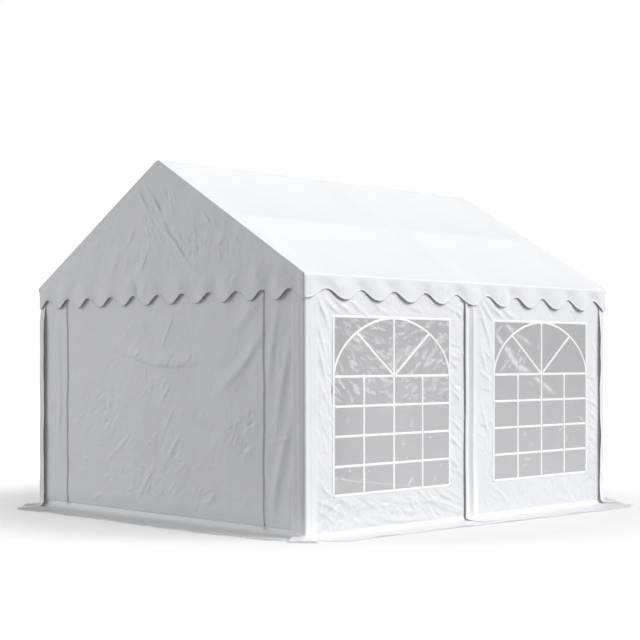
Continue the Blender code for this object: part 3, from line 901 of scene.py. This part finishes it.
def make_zip(end, face, way, seed):
    """Two lips of sheet, the grey tape between them, its teeth, and a slider at the foot."""
    heights = np.linspace(ZIP_TOP, ZIP_FOOT, 150)
    middle = zip_edge(way)(heights)
    off_wall = gable_wall_out(middle, heights, seed) - SHEET_MIDDLE
    across = np.broadcast_to(face.along, (len(heights), 3))
    lips, closure = Trim(), Trim()
    for off in (-LIP_OFF, LIP_OFF):
        lips.band(face.place(middle + off, heights, off_wall + 0.0016), across, *LIP_SIZE)
    closure.band(face.place(middle, heights, off_wall + 0.0012), across, *TAPE_SIZE)
    teeth = np.arange(ZIP_FOOT + 0.03, ZIP_TOP, TOOTH_PITCH)
    tooth_s = np.interp(teeth, heights[::-1], middle[::-1])
    tooth_out = np.interp(teeth, heights[::-1], off_wall[::-1]) + 0.0020
    axes = (face.along, UP, face.out)
    for index, centre in enumerate(face.place(tooth_s, teeth, tooth_out)):
        off = TOOTH_OFF if index % 2 else -TOOTH_OFF
        closure.block(centre + off * face.along, axes, TOOTH_SIZE)
    for up, out, size in (SLIDER, PULL):
        closure.block(face.place(middle[-1], heights[-1] + up, off_wall[-1] + out), axes, size)
    name = f"{end}_{tent_side(face, way)}"
    return lips.make(f"zip_lips_{name}", PVC), closure.make(f"zip_{name}", ZIP_TAPE, "zip")


# Windows

SPRINGING = 1.232
LATTICE_ROWS = 4
BORDER_WIDTH = 0.027
BORDER_INSET = 0.006
BORDER_FOOT = 0.010
BAR_WIDTH = 0.0225
BAR_THICK = 0.0022
ARCH_POWER = 1.85
ARCH_GAP = 0.004
SPOKE_OUT = 0.43
SPOKE_UP = 0.342
# How far each window lies further back than in the plain model
WINDOW_SHIFT = 0.015
# How deep a crease is where its painted highlight is at full strength
HIGHLIGHT_DEPTH = 0.0022

# The long facets of the crumpled front films: their number, area, lean in degrees along the wall
# and its spread, lengths, widths, steepest slopes, how many carry a painted highlight, how strong,
# and how soft their edges are
SHARDS = 480
SHARD_S, SHARD_H = (-1.72, -0.25), (0.93, 1.74)
SHARD_LEANS = ((-1.68, -1.40, -1.15, -0.95, -0.60, -0.30), (-42, -34, -12, 16, 30, 4))
SHARD_SPREAD = 22
SHARD_LENGTHS, SHARD_WIDTHS = (0.036, 0.068), (0.011, 0.019)
SHARD_TILT_S, SHARD_TILT_H = 0.05, 0.09
SHARDS_HIGHLIGHTED, SHARD_HIGHLIGHT = 0.44, (0.35, 0.85)
SHARD_EDGE = 0.48


def lattice_lines(centre):
    """The centre lines of the window's border and bars: the width, start and stop of each."""
    left = centre - WINDOW_HALF + BORDER_INSET
    right = centre + WINDOW_HALF - BORDER_INSET
    low, high = SILL + BORDER_FOOT, HEAD
    over = BAR_WIDTH / 2
    lines = [
        (BORDER_WIDTH, (left, low - over), (left, high + over)),
        (BORDER_WIDTH, (right, low - over), (right, high + over)),
        (BAR_WIDTH, (left - over, high), (right + over, high)),
        (BAR_WIDTH, (left - over, low), (right + over, low)),
        (BAR_WIDTH, (centre, low), (centre, high)),
    ]
    for row in range(1, LATTICE_ROWS + 1):
        h = mixed(SILL, SPRINGING, row / LATTICE_ROWS)
        lines.append((BAR_WIDTH, (left, h), (right, h)))
    for way in (-1, 1):
        s = centre + way * WINDOW_HALF / 2
        lines.append((BAR_WIDTH, (s, low), (s, SPRINGING)))
        tip = (centre + way * SPOKE_OUT, SPRINGING + SPOKE_UP)
        lines.append((BAR_WIDTH, (centre, SPRINGING), tip))
    return lines


def arch_line(centre):
    """The arch, from border to border: half an ellipse with slightly flatter shoulders."""
    turns = np.linspace(0, np.pi, 73)
    wide = WINDOW_HALF - BORDER_INSET - ARCH_GAP
    tall = HEAD - SPRINGING - ARCH_GAP
    across, up = np.cos(turns), np.abs(np.sin(turns))
    power = 2 / ARCH_POWER
    s = centre - wide * np.sign(across) * np.abs(across) ** power
    return s, SPRINGING + tall * up**power


def bar_distance(s, h, centre):
    """How far a point of the film lies from the nearest bar."""
    arch = zip(*arch_line(centre))
    distances = [to_line(s, h, start, stop)[1] for _, start, stop in lattice_lines(centre)]
    distances += [np.hypot(s - arch_s, h - arch_h) for arch_s, arch_h in arch]
    return np.min(distances, axis=0)


def shards(s, h, seed):
    """Long facets of crumpled film: how far they stand off, and how strong a painted highlight each
    of them carries.
    """
    draw = np.random.default_rng(seed)

    def spread(low, high):
        return draw.uniform(low, high, SHARDS)

    site_s, site_h = spread(*SHARD_S), spread(*SHARD_H)
    lean = np.radians(np.interp(site_s, *SHARD_LEANS) + spread(-SHARD_SPREAD, SHARD_SPREAD))
    long, wide = spread(*SHARD_LENGTHS), spread(*SHARD_WIDTHS)
    tilt_s = spread(-SHARD_TILT_S, SHARD_TILT_S)
    tilt_h = spread(-SHARD_TILT_H, SHARD_TILT_H)
    # Painted highlight: some facets are made whiter, as where they would catch the light
    bright = (draw.random(SHARDS) < SHARDS_HIGHLIGHTED) * spread(*SHARD_HIGHLIGHT)
    off_s, off_h = s[..., None] - site_s, h[..., None] - site_h
    along = (off_s * np.cos(lean) + off_h * np.sin(lean)) / long
    across = (off_h * np.cos(lean) - off_s * np.sin(lean)) / wide
    distance = np.hypot(along, across)
    own = np.argmin(distance, axis=-1)
    two = np.partition(distance, 1, axis=-1)
    inside = smooth(two[..., 1] - two[..., 0], 0.0, SHARD_EDGE)
    # They fade out above the film's smoother foot and before its far end
    inside *= smooth(h, 0.92, 1.08) * smooth(-s, 0.20, 0.30)
    height = tilt_s[own] * (s - site_s[own]) + tilt_h[own] * (h - site_h[own])
    return height * inside, bright[own] * inside


def calm_out(s, h):
    """The broad shape that the film and its bars share with the wall."""
    return swell(s, h, SIDE_SWELL) * slack(s, POST_Y) - SHEET_MIDDLE


def make_window(end, side):
    """A clear film, with the white bars on it as one piece."""
    face, seed = SIDE_WALLS[side], FILM_SEEDS[side]
    centre = ENDS[end] * WINDOW_CENTRE + WINDOW_SHIFT
    bars = Trim()

    def add_bar(s, h, width, thick):
        path = face.place(s, h, calm_out(s, h))
        bars.band(path, np.cross(np.gradient(path, axis=0), face.out), width, thick)

    for index, (width, start, stop) in enumerate(lattice_lines(centre)):
        steps = max(2, round(math.dist(start, stop) / 0.03))
        # Bars that cross differ in thickness, so that their faces don't share a plane
        thick = BAR_THICK + 0.0004 * (index % 4) + (width > BAR_WIDTH) * 0.002
        add_bar(*np.linspace(start, stop, steps + 1).T, width, thick)
    add_bar(*arch_line(centre), BAR_WIDTH, BAR_THICK + 0.0018)
    lattice = bars.make(f"window_bars_{end}_{side}", TAPE, "window_bar")
    steps = round(2 * WINDOW_HALF / FILM_CELLS[side])
    s, h = np.meshgrid(
        np.linspace(centre - WINDOW_HALF, centre + WINDOW_HALF, steps + 1),
        np.linspace(HEAD, SILL, steps + 1),
    )
    free = smooth(bar_distance(s, h, centre), 0.008, 0.045)
    crinkled = creased(s, h, FILM_FOLDS, FILM_CREASES, seed) * free
    facets, facet_highlight = shards(s, h, seed + 4) if end == "front" else (0.0, 0.0)
    places = face.place(s, h, calm_out(s, h) + crinkled + facets * free)
    film = grid_piece(f"window_film_{end}_{side}", places, FILM, face.mirrored)
    highlight_paint = film.data.attributes.new(HIGHLIGHT_ATTRIBUTE, "FLOAT", "POINT")
    # Painted highlight: whiter along the deeper creases and on the facets chosen above
    shade = np.maximum(np.clip(np.abs(crinkled) / HIGHLIGHT_DEPTH, 0, 1), facet_highlight)
    highlight_paint.data.foreach_set("value", shade.ravel())
    dress(film, "window_film", f"window_{end}_{side}")


# The roof, the gable triangles and the valance

VALANCE_DROP = 0.158
SCALLOP_SWING = 0.047
NOTCH_DROP = 0.111
LOBE_BLUNTING = 0.0045
EAVE = roof_low.z + VALANCE_DROP + SCALLOP_SWING
SLOPE = math.atan2(RIDGE - EAVE, HALF_WIDTH)
SLOPE_LENGTH = math.hypot(HALF_WIDTH, RIDGE - EAVE)
EAVE_ROUND = 0.018
CORNER_ROUND = 0.020
RIDGE_ROUND = 0.012
# How far a slope ends before the gable's plane, and a corner's smallest radius
EDGE_GAP = 0.0015
ROOF_SAG = 0.027
VALANCE_DENTS = 3
VALANCE_ROOM = 0.012
VALANCE_STEPS = 16
TAPE_ON_RAKE = (0.0075, 0.0050)

# A valance: half its length, how far each notch is off its even place, how much its scallops
# swing at its start and its end, how far its foot stands out, the height and start of its waves,
# and how far above the eave they begin
Valance = namedtuple("Valance", "half shifts swings flare wave start above")
GABLE_SHIFTS = np.array((-23, -27, -38, -18, -15, -9, -4, 19, 27, 10, -10)) / 3550
SIDE_SHIFTS = np.array((53, 37, 15, 2, -3, 22, 22, 5, 2, 14)) / 4000
GABLE_VALANCE = Valance(HALF_WIDTH, GABLE_SHIFTS, (0.041, 0.041), -0.002, 0.0050, 0.0, 0.12)
SIDE_VALANCE = Valance(
    HALF_LENGTH, SIDE_SHIFTS, (0.038, 0.046), -0.005, 0.0085, math.pi / 2, 0.0
)


def scallop_drop(share, valance):
    """How far the edge hangs below the eave, with notches as unevenly cut as real ones."""
    scallops = len(valance.shifts)
    notches = (np.arange(scallops) + 0.5) / scallops
    knots = np.concatenate([[0.0], notches, [1.0]])
    share = np.interp(share, np.concatenate([[0.0], notches + valance.shifts, [1.0]]), knots)
    swing = mixed(*valance.swings, share)
    turn = 2 * math.pi * scallops * share
    middle = NOTCH_DROP + swing + LOBE_BLUNTING
    return middle + swing * np.cos(turn) - LOBE_BLUNTING * np.cos(2 * turn)


def valance_out(s, fall, valance, seed):
    """How far a valance stands off: a wave for each scallop, and dents."""
    draw = np.random.default_rng(seed)
    length, scallops = 2 * valance.half, len(valance.shifts)
    knots = np.linspace(-length / 2, length / 2, scallops + 1)
    height = np.interp(s, knots, draw.uniform(0.6, 1.3, scallops + 1))
    shift = np.interp(s, knots, draw.uniform(-0.7, 0.7, scallops + 1))
    turn = 2 * math.pi * scallops * (s / length + 0.5)
    total = valance.wave * height * np.sin(turn + valance.start + shift)
    for _ in range(VALANCE_DENTS * scallops):
        dent_s = length * draw.uniform(-0.46, 0.46)
        dent_fall = draw.uniform(0.0, 0.13) - valance.above / 2
        radius = draw.uniform(0.022, 0.045)
        depth = radius * draw.choice((-0.16, 0.12)) * draw.uniform(0.5, 1.2)
        lean = draw.uniform(-0.8, 0.8)
        across = (s - dent_s - lean * (fall - dent_fall)) / radius
        total = total + depth * np.exp(-(across**2) - ((fall - dent_fall) / (1.4 * radius)) ** 2)
    ends = smooth(length / 2 - np.abs(s), 0.02, 0.12)
    return np.maximum(total, -VALANCE_ROOM) * ends * smooth(fall, -valance.above, 0.08)


def around_corner(u, half, radius, out):
    """Plan of a valance that turns half way round each corner: along it, and out from it."""
    bent = half - radius * (1 - math.pi / 4)
    s = u * bent
    turn = np.maximum(np.abs(s) - (half - radius), 0) / radius
    reach = (radius + out) * np.sin(turn)
    along = np.sign(s) * (np.minimum(np.abs(s), half - radius) + reach)
    return along, (radius + out) * np.cos(turn) - radius


def hang(valance, u, s, top, depth, seed):
    """Along, height and out of a valance's points. u runs from -1 to 1, and depth from 0 to 1."""
    h = mixed(top, EAVE - scallop_drop((u + 1) / 2, valance), depth)
    out = valance.flare * depth + valance_out(s, top - h, valance, seed)
    radius = CORNER_ROUND * smooth(depth, 0.0, 0.15) + EDGE_GAP
    along, out = around_corner(u, valance.half, radius, out)
    return along, h, out


def rake(across):
    """Height of the roof's line, rounded at the ridge."""
    return RIDGE - math.tan(SLOPE) * np.sqrt(across**2 + RIDGE_ROUND**2)


def bay(value, edges):
    """A sag between supports: 0 on each, and 1 half way between two of them."""
    total = np.zeros(np.shape(value))
    for low, high in zip(edges, edges[1:]):
        share = np.clip((value - low) / (high - low), 0, 1)
        total += 4 * share * (1 - share)
    return total


def grid_of(x, y, z):
    """Points from their coordinates."""
    return np.stack(np.broadcast_arrays(x, y, z), axis=-1)


def make_roof(side):
    """One slope of the roof, down over the eave to the scallops."""
    way = SIDES[side]
    u = np.linspace(-1, 1, 32 * len(SIDE_SHIFTS) + 1)[None, :]
    y = u * (HALF_LENGTH - EDGE_GAP)
    # The slope, from the ridge to where it starts to turn over the eave
    turned = EAVE_ROUND * (1 - math.sin(SLOPE))
    x = [np.linspace(0, 0.05, 6), np.linspace(0.05, HALF_WIDTH - turned, 64)[1:]]
    x = np.concatenate(x)[:, None]
    down = x / math.cos(SLOPE)
    clear = [1 - np.exp(-((np.abs(y - post) / 0.16) ** 2)) for post in (-POST_Y, 0.0, POST_Y)]
    sag = bay(down, [0, SLOPE_LENGTH / 2, SLOPE_LENGTH]) * np.prod(clear, axis=0)
    sag = sag * smooth(np.abs(y), HALF_LENGTH, HALF_LENGTH - 0.08)
    ripples = scatter(y + 0 * x, down + 0 * y, ROOF_CREASES, 41 + way)
    drop = ROOF_SAG * sag - ripples * smooth(sag, 0.0, 0.3)
    slope = grid_of(way * (x - drop * math.sin(SLOPE)), y, rake(x) - drop * math.cos(SLOPE))
    # The turn over the eave, round a centre below the slope
    centre_x = HALF_WIDTH - EAVE_ROUND
    centre_z = EAVE + math.tan(SLOPE) * turned - EAVE_ROUND * math.cos(SLOPE)
    turn = np.linspace(math.pi / 2 - SLOPE, 0, 7)[1:-1, None]
    over_x, over_z = EAVE_ROUND * np.cos(turn), EAVE_ROUND * np.sin(turn)
    eave = grid_of(way * (centre_x + over_x), y, centre_z + over_z)
    depth = np.linspace(0, 1, VALANCE_STEPS + 1)[:, None]
    along, h, out = hang(SIDE_VALANCE, u, y, centre_z, depth, 51 + way)
    places = np.concatenate([slope, eave, grid_of(way * (HALF_WIDTH + out), along, h)])
    piece = grid_piece(f"roof_sheet_{side}", places, LIT_ROOF_PVC, way < 0)
    dress(piece, "white_pvc", f"roof_slope_{side}")
    hems = Trim()
    hems.hem(places)
    hems.make(f"valance_hem_{side}", PVC)


def make_gable(end):
    """A gable triangle and the valance below it, with white tape along the rakes."""
    face, seed = GABLE_WALLS[end], GABLE_TOP_SEEDS[end]
    columns, rows = GABLE_TOP_GRIDS[end]
    u = np.linspace(-1, 1, columns * len(GABLE_SHIFTS) + 1)[None, :]
    s = u * HALF_WIDTH
    h = mixed(EAVE, np.maximum(rake(s), EAVE), np.linspace(1, 0, rows + 1)[:, None])
    total = creased(s, h, GABLE_TOP_FOLDS, GABLE_TOP_CREASES, seed)
    total += valance_out(s, EAVE - h, GABLE_VALANCE, seed + 10)
    plane = HALF_LENGTH - WALL_Y - SHEET_MIDDLE
    free = smooth((rake(s) - h) * math.cos(SLOPE), 0.0, 0.10)
    triangle = face.place(s, h, plane + total * free)
    depth = np.linspace(0, 1, VALANCE_STEPS + 1)[1:, None]
    along, h, out = hang(GABLE_VALANCE, u, s, EAVE, depth, seed + 10)
    # The creases of the triangle run on a little into the valance
    fading = (1 - depth) * smooth(HALF_WIDTH - np.abs(along), 0.0, 0.1)
    out += scatter(along, h, GABLE_TOP_CREASES, seed) * fading
    places = np.concatenate([triangle, face.place(along, h, plane + out)])
    piece = grid_piece(f"gable_sheet_{end}", places, PVC, face.mirrored)
    weld(piece)
    dress(piece, "white_pvc", f"gable_{end}")
    trim = Trim()
    trim.hem(places)
    for way in (-1, 1):
        s = way * np.linspace(0.002, HALF_WIDTH - 0.004, 60)
        path = face.place(s, rake(s) - 0.0020, HALF_LENGTH - WALL_Y - 0.0030)
        trim.band(path, np.broadcast_to(face.out, path.shape), *TAPE_ON_RAKE)
    trim.make(f"gable_trim_{end}", PVC)


# Strips over the posts

WRAP_ROWS = 104
WRAP_THICK = 0.0016
WRAP_CLEAR = 0.0026
WRAP_REST = FLAP_REST + 2 * ON_TOP
FOOT_START = 0.052
FOOT_ROWS = 16
FOOT_REACH = 0.20
FOOT_SIDES = (0.010, 0.045)
CORNER_KNEE = 1.3
COVER_KNEE = 3.2

# How far each sleeve stands off the walls, and how round its corner is
SLEEVE_SHAPES = {
    ("front", "right"): (0.000, 0.024),
    ("front", "left"): (0.012, 0.014),
    ("back", "right"): (0.004, 0.024),
    ("back", "left"): (0.008, 0.026),
}

# The sleeve edges that stand off their wall, so that a dark slit shows beside them
FLAT_EDGE = 0.001
OPEN_ON_GABLE = {("front", "left"): 0.009, ("back", "right"): 0.016}
OPEN_ON_SIDE = {("back", "right"): 0.016, ("back", "left"): 0.016}

# How far the middle strip stands off the wall, across its width
COVER_ACROSS = (-1.0, -0.88, -0.66, -0.42, -0.18, 0.04, 0.12, 0.28, 0.45, 0.70, 1.0)
COVER_OUT = (0.013, 0.018, 0.0125, 0.0040, 0.0120, 0.0235, 0.0240, 0.0150, 0.0075, 0.0040, 0.0022)
COVER_FOOT_REACH = 0.24
COVER_FOOT_HALF = 0.125


def pressed(heights):
    """1 under the valance, which presses a strip's top flat, and 0 well below it."""
    return smooth(heights, EAVE - 0.30, EAVE - VALANCE_DROP)


def make_strip(name, upright, foot, knee, turned, node):
    """A strip that turns from its upright rows out over the ground, to the end of its foot.

    The knee says how closely it follows the corner between them.
    """
    share = np.linspace(0, 1, FOOT_ROWS + 1)[1:, None, None]
    corner = np.concatenate([upright[-1][:, :2], foot[:, 2:]], axis=1)
    turning = 2 * share * (1 - share) * knee
    rows = (1 - share) ** 2 * upright[-1] + turning * corner + share**2 * foot
    rows /= (1 - share) ** 2 + turning + share**2
    piece = grid_piece(name, np.concatenate([upright, rows]), SMOOTH_PVC, turned)
    solid = piece.modifiers.new("thickness", "SOLIDIFY")
    solid.thickness, solid.offset = WRAP_THICK, 0.0
    dress(piece, "white_pvc", node)


def make_corner(end, side):
    """A sleeve round a corner post, which spreads into a foot on the ground."""
    way_x, way_y = SIDES[side], ENDS[end]
    leg_x, leg_y = (abs(value) for value in leg_edges(end, side))
    bulge, radius = SLEEVE_SHAPES[end, side]
    stand = WRAP_CLEAR + bulge
    centre_x, centre_y = WALL_X + stand - radius, WALL_Y + stand - radius
    # p runs along the sleeve's plan, from its edge on the gable wall to that on the long wall
    gable_run, side_run = centre_x - leg_x, centre_y - leg_y
    bend = radius * math.pi / 2
    length = gable_run + bend + side_run
    p = np.linspace(0, length, round(length / 0.008) + 1)
    turn = np.clip((p - gable_run) / radius, 0, math.pi / 2)
    x = np.minimum(leg_x + p, centre_x) + radius * np.sin(turn)
    y = centre_y - np.maximum(p - gable_run - bend, 0) + radius * np.cos(turn)
    heights = np.linspace(COVER_TOP, FOOT_START, WRAP_ROWS)[:, None]
    open_gable = OPEN_ON_GABLE.get((end, side), FLAT_EDGE)
    open_side = OPEN_ON_SIDE.get((end, side), FLAT_EDGE)
    lifted = 1 + 0.35 * ripple(heights, [(0.8, 1.0, way_x + 2 * way_y), (0.31, 0.5, 1.0)])
    lifted = lifted * (1 - 0.85 * pressed(heights))
    on_gable = np.clip(1 - p / gable_run, 0, 1) ** 2 * open_gable * lifted
    on_side = np.clip(1 - (length - p) / side_run, 0, 1) ** 2 * open_side * lifted
    pleat = 0.0016 * np.sin(p * 95 + 1.2 * heights) * np.sin(np.pi * p / length) ** 2
    out = pleat + 0.0010 * ripple(heights, [(0.53, 1.0, 0.4), (0.27, 0.6, 2.0)])
    out = out - bulge * pressed(heights)
    plan_x = x + np.sin(turn) * out + on_side
    plan_y = y + np.cos(turn) * out + on_gable
    share = p / length
    foot_x = WALL_X + mixed(FOOT_SIDES[0], FOOT_REACH, share)
    foot_y = WALL_Y + mixed(FOOT_REACH, FOOT_SIDES[1], share)
    foot_z = WRAP_REST + 0.003 * np.sin(share * 9 + way_x) ** 2
    make_strip(
        f"corner_wrap_{end}_{side}",
        grid_of(way_x * plan_x, way_y * plan_y, heights),
        grid_of(way_x * foot_x, way_y * foot_y, foot_z),
        CORNER_KNEE,
        way_x * way_y > 0,
        f"corner_sleeve_{end}_{side}",
    )


def make_post_wrap(side):
    """The strip over the seam between two wall panels, with its foot on the flap."""
    face = SIDE_WALLS[side]
    across = np.linspace(-1, 1, 45)
    heights = np.linspace(COVER_TOP, FOOT_START, WRAP_ROWS)[:, None]
    section = np.pad(np.interp(across, COVER_ACROSS, COVER_OUT), 1, mode="edge")
    section = np.convolve(section, np.array((1, 2, 1)) / 4, mode="valid")
    wander = ripple(heights, [(0.74, 0.0012, 0.5), (0.33, 0.0007, 2.2)])
    out = section * (1 + 0.10 * ripple(heights, [(1.1, 1.0, 0.0)])) + wander * (1 - across**2)
    s = across * COVER_HALF + ripple(heights, [(0.9, 0.0025, 1.0)])
    foot_s = across * COVER_FOOT_HALF
    foot_out = COVER_FOOT_REACH - 0.035 * across**2
    rest = FLAP_REST + ON_TOP + flap_lift(foot_s, foot_out, SIDE_SEEDS[side])
    make_strip(
        f"post_wrap_{side}",
        face.place(s, heights, out * mixed(1.0, 0.75, pressed(heights))),
        face.place(foot_s, rest, foot_out),
        COVER_KNEE,
        face.mirrored,
        f"post_cover_{side}",
    )


# Stage, lights and camera

EVEN_LIGHT = 0.265
CAMERA_PLACE = (9.463, -9.464, 1.378)
CAMERA_TURN = 45.22
LENS = 80.0
SHIFT_PIXELS = 38
IMAGE_PIXELS = 640


def make_floor():
    bpy.ops.mesh.primitive_circle_add(vertices=96, radius=60, fill_type="NGON")
    floor = bpy.context.object
    floor.name = "floor"
    floor.location.z = -0.0005
    floor.data.materials.append(floor_finish())
    floor.visible_diffuse = False
    floor.visible_shadow = False


def make_world():
    """White to the camera, and a dimmer even light on the tent."""
    world = bpy.data.worlds.new("studio")
    world.use_nodes = True
    bpy.context.scene.world = world
    nodes = Nodes(world.node_tree)
    seen = nodes.add("ShaderNodeLightPath", output="Is Camera Ray")
    strength = EVEN_LIGHT + seen * (1.02 - EVEN_LIGHT)
    inputs = {"Color": colour((0.98, 0.985, 1.0)), "Strength": strength}
    light = nodes.add("ShaderNodeBackground", {}, inputs)
    nodes.add("ShaderNodeOutputWorld", {}, {"Surface": light})


def make_light(name, kind, place, energy, target=(0, 0, 0)):
    light = bpy.data.objects.new(name, bpy.data.lights.new(name, kind))
    light.data.energy = energy
    light.location = place
    way = Vector(target) - light.location
    light.rotation_euler = way.to_track_quat("-Z", "Y").to_euler()
    bpy.context.scene.collection.objects.link(light)
    return light


def make_lights():
    make_light("key", "SUN", (6.92, 4.09, 5.94), 3.25).data.angle = math.radians(46)
    make_light("fill", "SUN", (-7.7, -5.15, 3.75), 0.95).data.angle = math.radians(40)
    glow = make_light("gable_glow", "AREA", (-4.5, -5.5, 1.2), 27, (0.0, -2.0, 1.0))
    glow.data.size = 3.0
    glow.visible_camera = False


def make_camera():
    data = bpy.data.cameras.new("camera")
    data.sensor_width = 36.0
    data.lens = LENS
    data.shift_y = SHIFT_PIXELS / IMAGE_PIXELS
    camera = bpy.data.objects.new("camera", data)
    camera.location = CAMERA_PLACE
    camera.rotation_euler = (math.pi / 2, 0, math.radians(CAMERA_TURN))
    bpy.context.scene.collection.objects.link(camera)
    bpy.context.scene.camera = camera


def finish_steel():
    for row in frame["record"]["subparts"]:
        if row["material_slot"] == "frame_steel":
            node = frame["nodes"][row["node"]]
            node.data.materials.clear()
            node.data.materials.append(STEEL)


make_camera()
make_world()
make_lights()
make_floor()
finish_steel()
for side in SIDES:
    make_roof(side)
    make_side_walls(side)
    make_post_wrap(side)
    for end in ENDS:
        make_window(end, side)
        make_corner(end, side)
for end in ENDS:
    make_gable(end)
    make_gable_wall(end)

bpy.context.scene.view_settings.view_transform = "Standard"
